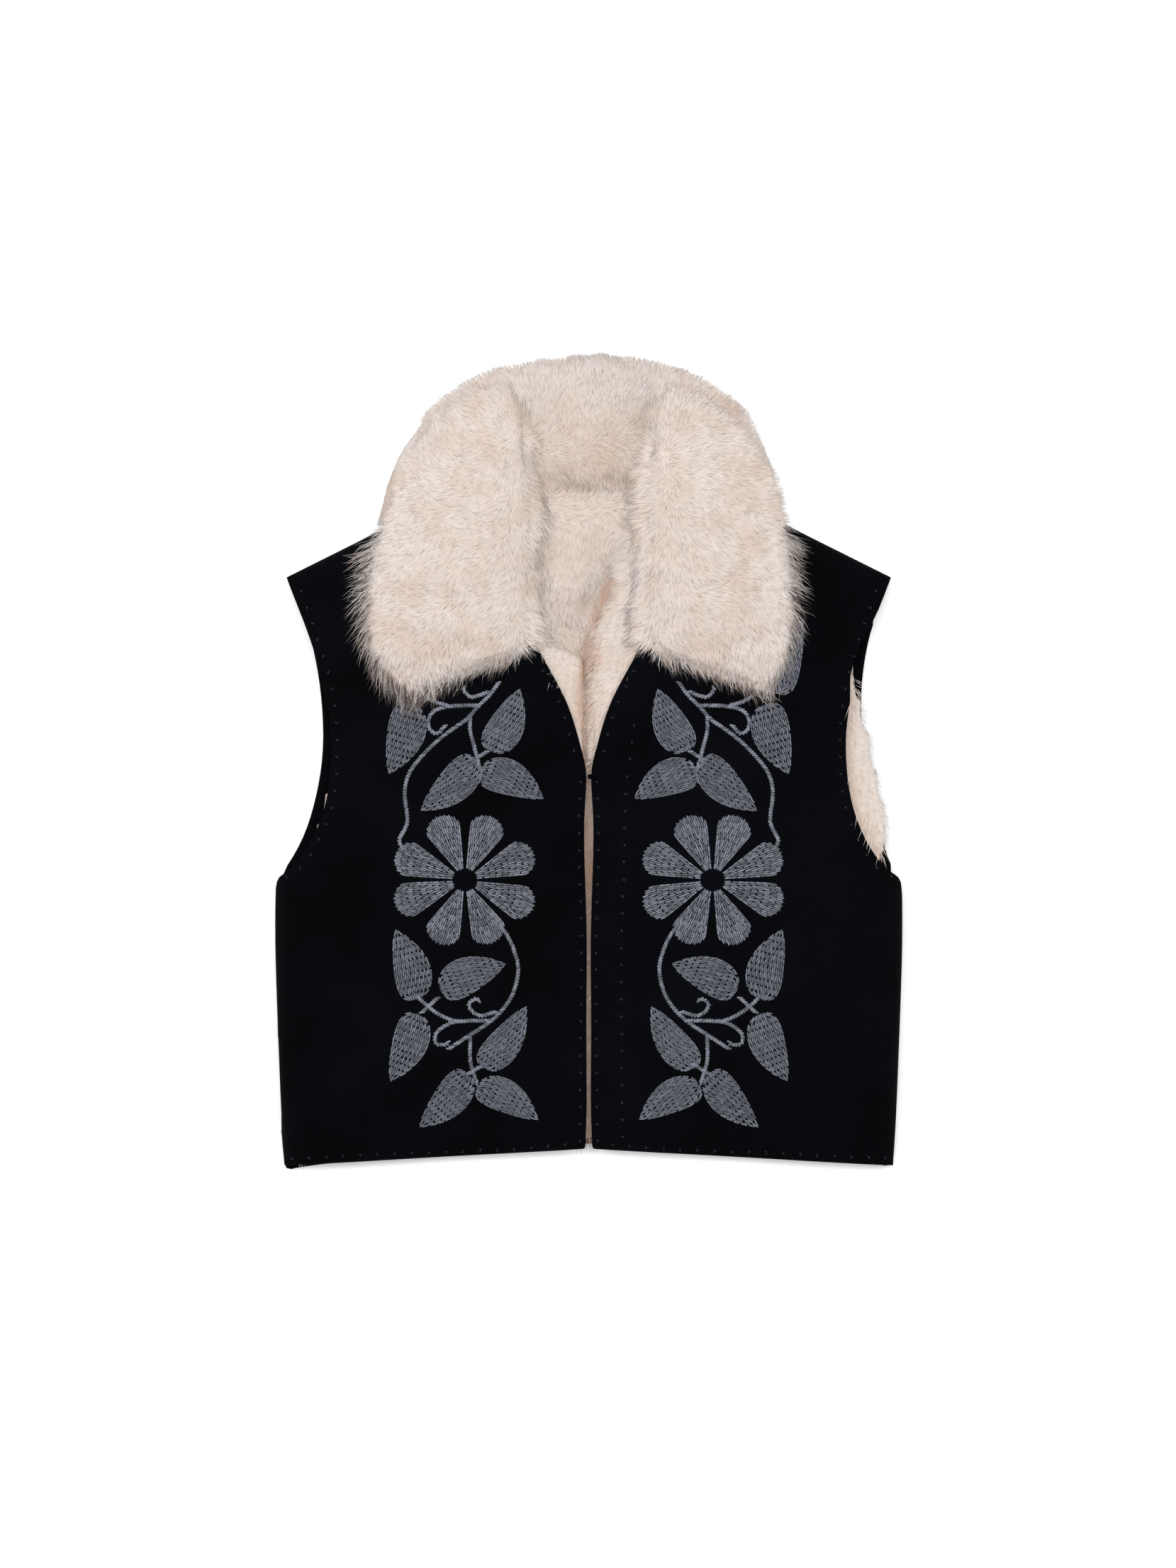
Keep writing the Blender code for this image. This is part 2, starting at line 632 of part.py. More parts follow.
def build_fall_cloth(name, table, side, wool):
    """The cloth side of the turned collar, which lies on the front."""
    rows = resampled(table, 12)
    upper = []
    for row in rows:
        inner_x, inner_y, outer_x, outer_y, _ = row
        width = math.hypot(outer_x - inner_x, outer_y - inner_y)
        shares = [mix(9.0 / width, 1.0 - 10.0 / width, k / 5.0) for k in range(6)]
        upper.append([(mix(inner_x, outer_x, s), mix(inner_y, outer_y, s), COLLAR_CLOTH_TOP) for s in shares])
    lower = [[(x, y, z - CLOTH) for x, y, z in row] for row in upper]
    points, faces = closed_slab(lower, upper)
    return add_object(name, points, faces, wool, side)


def build_stand_cloth(wool):
    """The cloth side of the standing collar, on the surface behind the neck."""
    rows = resampled(STAND_ROWS, 25)
    upper = []
    for row in rows:
        inner_x, inner_y, outer_x, outer_y, _ = row
        width = math.hypot(outer_x - inner_x, outer_y - inner_y)
        shares = (5.5 / width, 0.5, 1.0 - 9.0 / width)
        upper.append([(mix(inner_x, outer_x, s), mix(inner_y, outer_y, s), CLOTH) for s in shares])
    lower = [[(x, y, 0.0) for x, y, _ in row] for row in upper]
    points, faces = closed_slab(lower, upper)
    return add_object("collar_stand_cloth", points, faces, wool)


def build_all():
    clear_scene()
    wool = make_material("black_wool_felt", WOOL_BLACK, 0.9)
    fur = make_material("cream_pile_fur", FUR_CREAM, 0.85)
    build_back(wool)
    build_back_lining(fur)
    for name, side, fall in (("left", -1.0, FALL_ROWS_LEFT), ("right", 1.0, FALL_ROWS_RIGHT)):
        build_front(f"front_{name}", side, wool)
        build_front_lining(f"front_lining_{name}", side, fur)
        build_fall_cloth(f"collar_cloth_{name}", fall, side, wool)
        build_fall(f"collar_{name}", fall, side, fur)
    build_stand_cloth(wool)
    build_stand(fur)


build_all()
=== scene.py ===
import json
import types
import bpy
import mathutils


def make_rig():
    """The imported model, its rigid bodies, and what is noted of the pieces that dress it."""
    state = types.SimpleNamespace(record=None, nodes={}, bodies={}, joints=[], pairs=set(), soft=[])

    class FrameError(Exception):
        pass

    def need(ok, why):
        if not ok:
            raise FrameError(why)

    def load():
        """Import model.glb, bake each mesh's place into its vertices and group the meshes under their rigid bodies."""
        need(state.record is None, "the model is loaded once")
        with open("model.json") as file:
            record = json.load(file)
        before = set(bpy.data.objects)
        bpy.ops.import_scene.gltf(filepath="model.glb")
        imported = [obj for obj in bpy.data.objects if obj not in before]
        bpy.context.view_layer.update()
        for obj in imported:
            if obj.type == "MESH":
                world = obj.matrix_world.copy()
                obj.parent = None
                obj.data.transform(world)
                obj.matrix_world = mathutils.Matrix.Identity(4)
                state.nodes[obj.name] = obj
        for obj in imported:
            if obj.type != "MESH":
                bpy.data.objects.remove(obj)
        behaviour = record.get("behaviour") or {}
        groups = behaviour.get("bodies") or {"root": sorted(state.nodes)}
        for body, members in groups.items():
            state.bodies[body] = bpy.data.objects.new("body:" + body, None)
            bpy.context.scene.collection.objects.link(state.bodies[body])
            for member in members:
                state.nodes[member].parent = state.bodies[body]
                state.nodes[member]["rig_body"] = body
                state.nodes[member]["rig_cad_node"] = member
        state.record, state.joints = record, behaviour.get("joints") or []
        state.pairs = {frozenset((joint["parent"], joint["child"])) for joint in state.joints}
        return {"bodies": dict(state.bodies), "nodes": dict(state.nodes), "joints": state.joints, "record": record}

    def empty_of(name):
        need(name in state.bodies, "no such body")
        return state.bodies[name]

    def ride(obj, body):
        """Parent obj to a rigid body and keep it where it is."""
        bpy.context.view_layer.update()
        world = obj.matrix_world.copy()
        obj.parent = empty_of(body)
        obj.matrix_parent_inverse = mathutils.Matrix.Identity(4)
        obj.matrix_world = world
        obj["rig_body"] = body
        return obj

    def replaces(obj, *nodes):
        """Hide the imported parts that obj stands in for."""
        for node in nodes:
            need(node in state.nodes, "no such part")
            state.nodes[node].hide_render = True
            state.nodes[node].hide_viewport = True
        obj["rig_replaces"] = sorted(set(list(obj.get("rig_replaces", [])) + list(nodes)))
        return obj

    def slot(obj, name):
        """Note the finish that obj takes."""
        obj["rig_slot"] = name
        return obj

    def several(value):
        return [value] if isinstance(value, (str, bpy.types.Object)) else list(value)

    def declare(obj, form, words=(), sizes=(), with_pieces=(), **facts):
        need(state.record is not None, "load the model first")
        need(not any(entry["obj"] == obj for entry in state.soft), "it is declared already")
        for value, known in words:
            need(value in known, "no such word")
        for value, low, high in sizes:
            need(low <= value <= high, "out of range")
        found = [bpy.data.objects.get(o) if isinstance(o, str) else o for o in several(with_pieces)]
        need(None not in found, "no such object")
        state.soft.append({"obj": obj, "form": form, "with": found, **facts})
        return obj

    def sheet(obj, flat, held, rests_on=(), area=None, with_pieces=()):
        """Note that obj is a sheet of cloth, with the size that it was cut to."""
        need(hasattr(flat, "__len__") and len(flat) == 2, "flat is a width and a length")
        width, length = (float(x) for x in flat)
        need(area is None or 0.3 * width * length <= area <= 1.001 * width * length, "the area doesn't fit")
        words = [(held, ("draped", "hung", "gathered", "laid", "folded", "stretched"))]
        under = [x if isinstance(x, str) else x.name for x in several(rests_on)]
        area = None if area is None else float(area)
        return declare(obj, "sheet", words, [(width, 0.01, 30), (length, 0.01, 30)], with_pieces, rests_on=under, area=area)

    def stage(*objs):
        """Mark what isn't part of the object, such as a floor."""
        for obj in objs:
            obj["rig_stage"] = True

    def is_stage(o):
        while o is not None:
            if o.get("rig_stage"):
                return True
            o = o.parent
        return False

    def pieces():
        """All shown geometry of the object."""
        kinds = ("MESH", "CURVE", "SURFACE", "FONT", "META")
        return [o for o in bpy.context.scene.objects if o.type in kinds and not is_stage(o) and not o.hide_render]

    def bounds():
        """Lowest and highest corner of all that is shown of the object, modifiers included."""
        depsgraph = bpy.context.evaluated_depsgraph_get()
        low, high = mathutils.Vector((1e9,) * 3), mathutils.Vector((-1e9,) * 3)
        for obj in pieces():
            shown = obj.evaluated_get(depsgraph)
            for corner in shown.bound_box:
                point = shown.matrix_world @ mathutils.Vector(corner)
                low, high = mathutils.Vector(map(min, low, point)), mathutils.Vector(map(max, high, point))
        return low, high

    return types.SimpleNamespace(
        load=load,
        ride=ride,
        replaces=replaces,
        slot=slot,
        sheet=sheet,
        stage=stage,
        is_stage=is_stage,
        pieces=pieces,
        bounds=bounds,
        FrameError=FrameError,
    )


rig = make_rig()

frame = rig.load()

import bpy
import bmesh
import json
import math
import random
import numpy as np
from mathutils import Vector, noise
from mathutils.bvhtree import BVHTree
from mathutils.kdtree import KDTree

# A folk vest lying flat on its back. Sizes below are in millimetres unless a note says otherwise.
mm = 0.001
scene = bpy.context.scene
cadLow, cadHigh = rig.bounds()


# Helpers for colours, nodes and meshes.

def linearColour(hexText):
    channels = [int(hexText[i:i + 2], 16) / 255 for i in (1, 3, 5)]
    return tuple(c / 12.92 if c <= 0.04045 else ((c + 0.055) / 1.055) ** 2.4 for c in channels) + (1.0,)


# Adds a node. Inputs are given by name or number, as a value or as the socket that feeds them.
def addNode(tree, kind, inputs=None, **settings):
    node = tree.nodes.new(kind)
    for name, value in settings.items():
        setattr(node, name, value)
    for name, value in (inputs or {}).items():
        socket = node.inputs[name]
        if isinstance(value, bpy.types.NodeSocket):
            tree.links.new(value, socket)
        else:
            socket.default_value = value
    return node


def startMaterial(name):
    material = bpy.data.materials.new(name)
    material.use_nodes = True
    material.node_tree.nodes.clear()
    return material, material.node_tree


# Sets a ramp's stops, each a place from 0 to 1 and a colour.
def setStops(ramp, *stops):
    elements = ramp.color_ramp.elements
    while len(elements) < len(stops):
        elements.new(0.5)
    for element, (place, colour) in zip(elements, stops):
        element.position = place
        element.color = linearColour(colour)


def ease(share):
    share = min(max(share, 0.0), 1.0)
    return share * share * (3 - 2 * share)


def addPiece(name, mesh, material=None):
    piece = bpy.data.objects.new(name, mesh)
    scene.collection.objects.link(piece)
    if material:
        mesh.materials.clear()
        mesh.materials.append(material)
    return piece


# Turns what an object's modifiers make into a plain mesh of its own, and drops the modifiers.
def settle(piece):
    graph = bpy.context.evaluated_depsgraph_get()
    graph.update()
    made = bpy.data.meshes.new_from_object(piece.evaluated_get(graph))
    piece.modifiers.clear()
    old = piece.data
    piece.data = made
    made.name = piece.name
    bpy.data.meshes.remove(old)
    return piece


# A clean copy of an imported solid: points merged, pairs of triangles made quads again.
def copySolid(nodeName):
    shape = bmesh.new()
    shape.from_mesh(frame["nodes"][nodeName].data)
    bmesh.ops.remove_doubles(shape, verts=shape.verts, dist=0.000004)
    bmesh.ops.join_triangles(shape, faces=shape.faces, angle_face_threshold=0.6, angle_shape_threshold=1.3)
    shape.verts.index_update()
    points = [v.co[:] for v in shape.verts]
    faces = [[v.index for v in f.verts] for f in shape.faces]
    shape.free()
    mesh = bpy.data.meshes.new(nodeName + "Copy")
    mesh.from_pydata(points, [], faces)
    mesh.update()
    return mesh


def readPoints(mesh):
    flat = np.empty(len(mesh.vertices) * 3)
    mesh.vertices.foreach_get("co", flat)
    return flat.reshape(-1, 3)


def readNormals(mesh):
    flat = np.empty(len(mesh.vertices) * 3, dtype=np.float32)
    mesh.vertex_normals.foreach_get("vector", flat)
    return flat.reshape(-1, 3).astype(float)


def writePoints(mesh, points):
    mesh.vertices.foreach_set("co", points.reshape(-1))
    mesh.update()


def writeAttribute(mesh, name, values, kind="FLOAT"):
    layer = mesh.attributes.new(name, kind, "POINT")
    if kind == "FLOAT":
        layer.data.foreach_set("value", np.asarray(values, dtype=np.float32))
    else:
        layer.data.foreach_set("vector", np.asarray(values, dtype=np.float32).reshape(-1))


def triangleCount(mesh):
    return sum(len(p.vertices) - 2 for p in mesh.polygons)


# Materials.

# Milled wool cloth: short fibres felted over a fine weave, so it is matt and nearly black, with a faint nap.
def makeWoolFelt():
    look = {"dark": "#020203", "light": "#06070b", "threadPitch": 0.9, "napSize": 1.4, "cloudSize": 70.0}
    material, tree = startMaterial("milledWoolCloth")
    place = addNode(tree, "ShaderNodeTexCoord").outputs["Object"]
    cloud = addNode(tree, "ShaderNodeTexNoise", {
        "Vector": place, "Scale": 1 / (look["cloudSize"] * mm), "Detail": 3.0})
    nap = addNode(tree, "ShaderNodeTexNoise", {
        "Vector": place, "Scale": 1 / (look["napSize"] * mm), "Detail": 4.0, "Roughness": 0.65})
    waveScale = 0.314 / (look["threadPitch"] * mm)  # one band of the wave texture is 0.314 units wide
    warp = addNode(tree, "ShaderNodeTexWave", {
        "Vector": place, "Scale": waveScale, "Distortion": 1.2, "Detail": 1.0,
        "Detail Scale": 1.5}, bands_direction="X")
    shade = addNode(tree, "ShaderNodeMath", {
        0: cloud.outputs["Fac"], 1: nap.outputs["Fac"]}, operation="MULTIPLY")
    ramp = addNode(tree, "ShaderNodeValToRGB", {"Fac": shade.outputs[0]})
    setStops(ramp, (0.12, look["dark"]), (0.42, look["light"]))
    height = addNode(tree, "ShaderNodeMath", {
        0: warp.outputs["Fac"], 1: 0.35, 2: nap.outputs["Fac"]}, operation="MULTIPLY_ADD")
    bump = addNode(tree, "ShaderNodeBump", {
        "Height": height.outputs[0], "Strength": 0.55, "Distance": 0.25 * mm})
    shader = addNode(tree, "ShaderNodeBsdfPrincipled", {
        "Base Color": ramp.outputs["Color"], "Normal": bump.outputs["Normal"], "Roughness": 0.9, "IOR": 1.46,
        "Specular IOR Level": 0.03, "Sheen Weight": 0.01, "Sheen Roughness": 0.45,
        "Sheen Tint": linearColour("#8d93a8")})
    addNode(tree, "ShaderNodeOutputMaterial", {"Surface": shader.outputs[0]})
    return material


# Stranded cotton floss: a soft lustre along each stitch, and a slightly different grey from one to the next.
def makeCottonFloss():
    look = {"dark": "#3e404b", "light": "#767984", "fibre": 0.35}
    material, tree = startMaterial("greyCottonFloss")
    tone = addNode(tree, "ShaderNodeAttribute", attribute_name="tone")
    ramp = addNode(tree, "ShaderNodeValToRGB", {"Fac": tone.outputs["Fac"]})
    setStops(ramp, (0.0, look["dark"]), (1.0, look["light"]))
    place = addNode(tree, "ShaderNodeTexCoord").outputs["Object"]
    fibre = addNode(tree, "ShaderNodeTexNoise", {
        "Vector": place, "Scale": 1 / (look["fibre"] * mm), "Detail": 2.0})
    bump = addNode(tree, "ShaderNodeBump", {
        "Height": fibre.outputs["Fac"], "Strength": 0.3, "Distance": 0.1 * mm})
    shader = addNode(tree, "ShaderNodeBsdfPrincipled", {
        "Base Color": ramp.outputs["Color"], "Normal": bump.outputs["Normal"], "Roughness": 0.48, "IOR": 1.5,
        "Sheen Weight": 0.15, "Sheen Roughness": 0.4})
    addNode(tree, "ShaderNodeOutputMaterial", {"Surface": shader.outputs[0]})
    return material


# Sewing thread that holds the fur to the cloth: fine and grey, picked through the felt.
def makeSewingThread():
    look = {"dark": "#1a1c23", "light": "#3c404c", "twist": 0.6}
    material, tree = startMaterial("greySewingThread")
    place = addNode(tree, "ShaderNodeTexCoord").outputs["Object"]
    twist = addNode(tree, "ShaderNodeTexNoise", {
        "Vector": place, "Scale": 1 / (look["twist"] * mm), "Detail": 2.0})
    ramp = addNode(tree, "ShaderNodeValToRGB", {"Fac": twist.outputs["Fac"]})
    setStops(ramp, (0.0, look["dark"]), (1.0, look["light"]))
    shader = addNode(tree, "ShaderNodeBsdfPrincipled", {
        "Base Color": ramp.outputs["Color"], "Roughness": 0.6, "IOR": 1.5})
    addNode(tree, "ShaderNodeOutputMaterial", {"Surface": shader.outputs[0]})
    return material


# Long pile fur: cream hairs, darker and pinker towards the root as painted shade, where light hardly reaches,
# pale at the tips. Warm patches are drawn over them, and a cool grey: painted shade at the stand's side rims,
# a greyer tone at its top, in the neck and at the armhole. Each lock has its own tone.
def makePileFur():
    look = {"root": "#b5a69b", "middle": "#c3b8b0", "tip": "#cdc7c3", "warm": "#efdccf", "coolGreyAndShade": "#c8c7c4",
            "rootBrownShadeColour": "#a17f68", "glow": "#e6d2c6", "patchSize": 26.0, "lockSize": 4.5, "softness": 0.82}
    material, tree = startMaterial("creamPileFur")
    along = addNode(tree, "ShaderNodeAttribute", attribute_name="along")
    tone = addNode(tree, "ShaderNodeAttribute", attribute_name="tone")
    ramp = addNode(tree, "ShaderNodeValToRGB", {"Fac": along.outputs["Fac"]})
    setStops(ramp, (0.0, look["root"]), (0.45, look["middle"]), (1.0, look["tip"]))
    place = addNode(tree, "ShaderNodeTexCoord").outputs["Object"]
    patch = addNode(tree, "ShaderNodeTexNoise", {
        "Vector": place, "Scale": 1 / (look["patchSize"] * mm), "Detail": 2.0})
    tint = addNode(tree, "ShaderNodeMapRange", {
        "Value": patch.outputs["Fac"], "From Min": 0.42, "From Max": 0.66, "To Min": 0.0, "To Max": 0.6})
    warmed = addNode(tree, "ShaderNodeMix", {
        0: tint.outputs[0], 6: ramp.outputs["Color"],
        7: linearColour(look["warm"])}, data_type="RGBA", blend_type="MULTIPLY")
    chill = addNode(tree, "ShaderNodeAttribute", attribute_name="chill")
    blended = addNode(tree, "ShaderNodeMix", {
        0: chill.outputs["Fac"], 6: warmed.outputs[2], 7: linearColour(look["coolGreyAndShade"])}, data_type="RGBA")
    # in a parting the roots show and are browner than the rest; the brown is also painted shade, in the groove, at the
    # neck seam and over the whole stand and open neck
    deep = addNode(tree, "ShaderNodeAttribute", attribute_name="deep")
    rootward = addNode(tree, "ShaderNodeMapRange", {
        "Value": along.outputs["Fac"], "From Min": 0.1, "From Max": 0.9, "To Min": 1.0, "To Max": 0.5})
    brownShade = addNode(tree, "ShaderNodeMath", {
        0: rootward.outputs[0], 1: deep.outputs["Fac"]}, operation="MULTIPLY")
    brownedAndShaded = addNode(tree, "ShaderNodeMix", {
        0: brownShade.outputs[0], 6: blended.outputs[2], 7: linearColour(look["rootBrownShadeColour"])}, data_type="RGBA")
    lock = addNode(tree, "ShaderNodeTexNoise", {
        "Vector": place, "Scale": 1 / (look["lockSize"] * mm), "Detail": 2.0})
    uneven = addNode(tree, "ShaderNodeMath", {
        0: lock.outputs["Fac"], 1: 1.6, 2: tone.outputs["Fac"]}, operation="MULTIPLY_ADD")
    level = addNode(tree, "ShaderNodeMapRange", {
        "Value": uneven.outputs[0], "From Min": 0.4, "From Max": 2.2, "To Min": 0.9, "To Max": 1.07})
    final = addNode(tree, "ShaderNodeHueSaturation", {"Color": brownedAndShaded.outputs[2], "Value": level.outputs[0]})
    # hairs pass light on to each other, so the coat is shaded more as a whole than hair by hair, and the
    # little that comes through from behind is the glow
    skin = addNode(tree, "ShaderNodeAttribute", attribute_name="skin")
    ownSide = addNode(tree, "ShaderNodeNewGeometry")
    between = addNode(tree, "ShaderNodeMix", {
        0: look["softness"], 4: ownSide.outputs["Normal"], 5: skin.outputs["Vector"]}, data_type="VECTOR")
    soft = addNode(tree, "ShaderNodeVectorMath", {0: between.outputs[1]}, operation="NORMALIZE")
    shader = addNode(tree, "ShaderNodeBsdfPrincipled", {
        "Base Color": final.outputs["Color"], "Normal": soft.outputs[0], "Roughness": 0.62, "IOR": 1.55,
        "Specular IOR Level": 0.2, "Sheen Weight": 0.1, "Sheen Roughness": 0.5,
        "Emission Color": linearColour(look["glow"]), "Emission Strength": 0.1})
    addNode(tree, "ShaderNodeOutputMaterial", {"Surface": shader.outputs[0]})
    return material


# The knitted backing and the dense underfur, seen between the hairs. It has the hairs' root tone, painted shade deep
# among them, and a faint glow, painted light, lifts it as it does the hairs.
def makeUnderfur():
    look = {"dark": "#b9aaa0", "light": "#c8beb6", "brownedAndShaded": "#a5836b", "glow": "#e6d2c6", "tuftSize": 3.0}
    material, tree = startMaterial("creamUnderfur")
    place = addNode(tree, "ShaderNodeTexCoord").outputs["Object"]
    tuft = addNode(tree, "ShaderNodeTexNoise", {
        "Vector": place, "Scale": 1 / (look["tuftSize"] * mm), "Detail": 5.0, "Roughness": 0.7})
    ramp = addNode(tree, "ShaderNodeValToRGB", {"Fac": tuft.outputs["Fac"]})
    setStops(ramp, (0.3, look["dark"]), (0.7, look["light"]))
    # the brown where the hair parts is painted shade as well, as in the hairs
    deep = addNode(tree, "ShaderNodeAttribute", attribute_name="deep")
    brownedAndShaded = addNode(tree, "ShaderNodeMix", {
        0: deep.outputs["Fac"], 6: ramp.outputs["Color"], 7: linearColour(look["brownedAndShaded"])}, data_type="RGBA")
    skin = addNode(tree, "ShaderNodeAttribute", attribute_name="skin")
    bump = addNode(tree, "ShaderNodeBump", {
        "Height": tuft.outputs["Fac"], "Strength": 0.8, "Distance": 1.5 * mm,
        "Normal": skin.outputs["Vector"]})
    shader = addNode(tree, "ShaderNodeBsdfPrincipled", {
        "Base Color": brownedAndShaded.outputs[2], "Normal": bump.outputs["Normal"], "Roughness": 0.9, "IOR": 1.55,
        "Specular IOR Level": 0.1, "Sheen Weight": 0.1, "Sheen Roughness": 0.5,
        "Emission Color": linearColour(look["glow"]), "Emission Strength": 0.1})
    addNode(tree, "ShaderNodeOutputMaterial", {"Surface": shader.outputs[0]})
    return material


woolFelt = makeWoolFelt()
cottonFloss = makeCottonFloss()
sewingThread = makeSewingThread()
pileFur = makePileFur()
underfur = makeUnderfur()
print("materials ready")


# Wool panels: each is a thin shell on its solid's form, and the fronts have soft creases.

# Creases on the fronts, in the half at +X. A negative height is a trough.
creaseColumns = ("from", "to", "width", "height")
frontCreases = [dict(zip(creaseColumns, row)) for row in (
    ((216, -96), (150, -150), 17, 1.1),
    ((232, -150), (196, -236), 20, 0.9),
    ((60, -306), (72, -232), 16, 1.0),
    ((176, -312), (160, -248), 18, 1.1),
    ((196, 40), (160, -4), 14, 0.9),
    ((34, 70), (22, -60), 12, 0.7),
    ((214, 120), (176, 128), 15, 0.8),
)]


def creaseLift(x, y, creases):
    lift = 0.0
    for crease in creases:
        (ax, ay), (bx, by) = crease["from"], crease["to"]
        dx, dy = bx - ax, by - ay
        along = ((x - ax) * dx + (y - ay) * dy) / (dx * dx + dy * dy)
        near = min(max(along, 0.0), 1.0)
        gap = math.hypot(x - ax - near * dx, y - ay - near * dy)
        fade = math.sin(math.pi * (0.15 + 0.7 * near))
        lift += crease["height"] * fade * math.exp(-(gap / crease["width"] * 1.7) ** 2)
    return lift


# A front's armhole edge can be drawn in, so that the fur inside the back shows past it.
def makeWoolPanel(nodeName, pieceName, creases=(), drawnIn=0.0):
    piece = addPiece(pieceName, copySolid(nodeName), woolFelt)
    smoother = piece.modifiers.new("smoother", "SUBSURF")
    smoother.levels = smoother.render_levels = 1
    settle(piece)
    if creases:
        points = readPoints(piece.data)
        for point in points:
            x, y = abs(point[0]) / mm, point[1] / mm
            twist = 3.0 if point[0] > 0 else -4.0  # the two fronts don't crease quite alike
            point[2] += creaseLift(x + twist, y + twist, creases) * mm
            atArmhole = ease((x - 185) / 20) * ease((y - 46) / 28) * ease((122 - y) / 30)
            point[0] -= math.copysign(drawnIn * atArmhole, point[0]) * mm
        writePoints(piece.data, points)
    piece.data.shade_smooth()
    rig.ride(piece, "root")
    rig.replaces(piece, nodeName)
    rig.slot(piece, "wool")
    return piece


frontLeft = makeWoolPanel("front_left", "frontLeft", frontCreases)
frontRight = makeWoolPanel("front_right", "frontRight", frontCreases, drawnIn=5.0)
backCloth = makeWoolPanel("back_panel", "backCloth")
collarClothLeft = makeWoolPanel("collar_cloth_left", "collarClothLeft")
collarClothRight = makeWoolPanel("collar_cloth_right", "collarClothRight")
standCloth = makeWoolPanel("collar_stand_cloth", "standCloth")
print("wool panels ready")


# Fur: a hide for each fur solid, and hairs grown on it by one node tree.

# One hair of length 1: three-sided, bent over, and drawn out to a point at both ends.
def makeHair(name, girth, spine):
    root, rings, tip = spine[0], spine[1:-1], spine[-1]
    points, along = [(root["out"], 0, root["up"])], [root["along"]]
    for place in rings:
        for k in range(3):
            turn = math.tau * k / 3
            size = girth * place["size"]
            points.append((place["out"] + size * math.cos(turn), size * math.sin(turn), place["up"]))
            along.append(place["along"])
    points.append((tip["out"], 0, tip["up"]))
    along.append(tip["along"])
    faces = [(0, 1 + (k + 1) % 3, 1 + k) for k in range(3)]
    for ring in range(1, 3 * len(rings) - 2, 3):
        faces += [(ring + k, ring + (k + 1) % 3, ring + 3 + (k + 1) % 3, ring + 3 + k) for k in range(3)]
    last = 3 * len(rings) - 2
    faces += [(last + k, last + (k + 1) % 3, last + 3) for k in range(3)]
    mesh = bpy.data.meshes.new(name)
    mesh.from_pydata(points, [], faces)
    mesh.shade_smooth()
    writeAttribute(mesh, "along", along)
    return bpy.data.objects.new(name, mesh)


# A new geometry node group with named inputs and one output. An input is a kind of socket, or a number.
def startGroup(name, inputs, output):
    tree = bpy.data.node_groups.new(name, "GeometryNodeTree")
    for label, value in inputs.items():
        kind = value if isinstance(value, str) else "Int" if isinstance(value, int) else "Float"
        socket = tree.interface.new_socket(label, in_out="INPUT", socket_type="NodeSocket" + kind)
        if not isinstance(value, str):
            socket.default_value = value
    tree.interface.new_socket(output, in_out="OUTPUT", socket_type="NodeSocketGeometry")
    return tree, addNode(tree, "NodeGroupInput").outputs
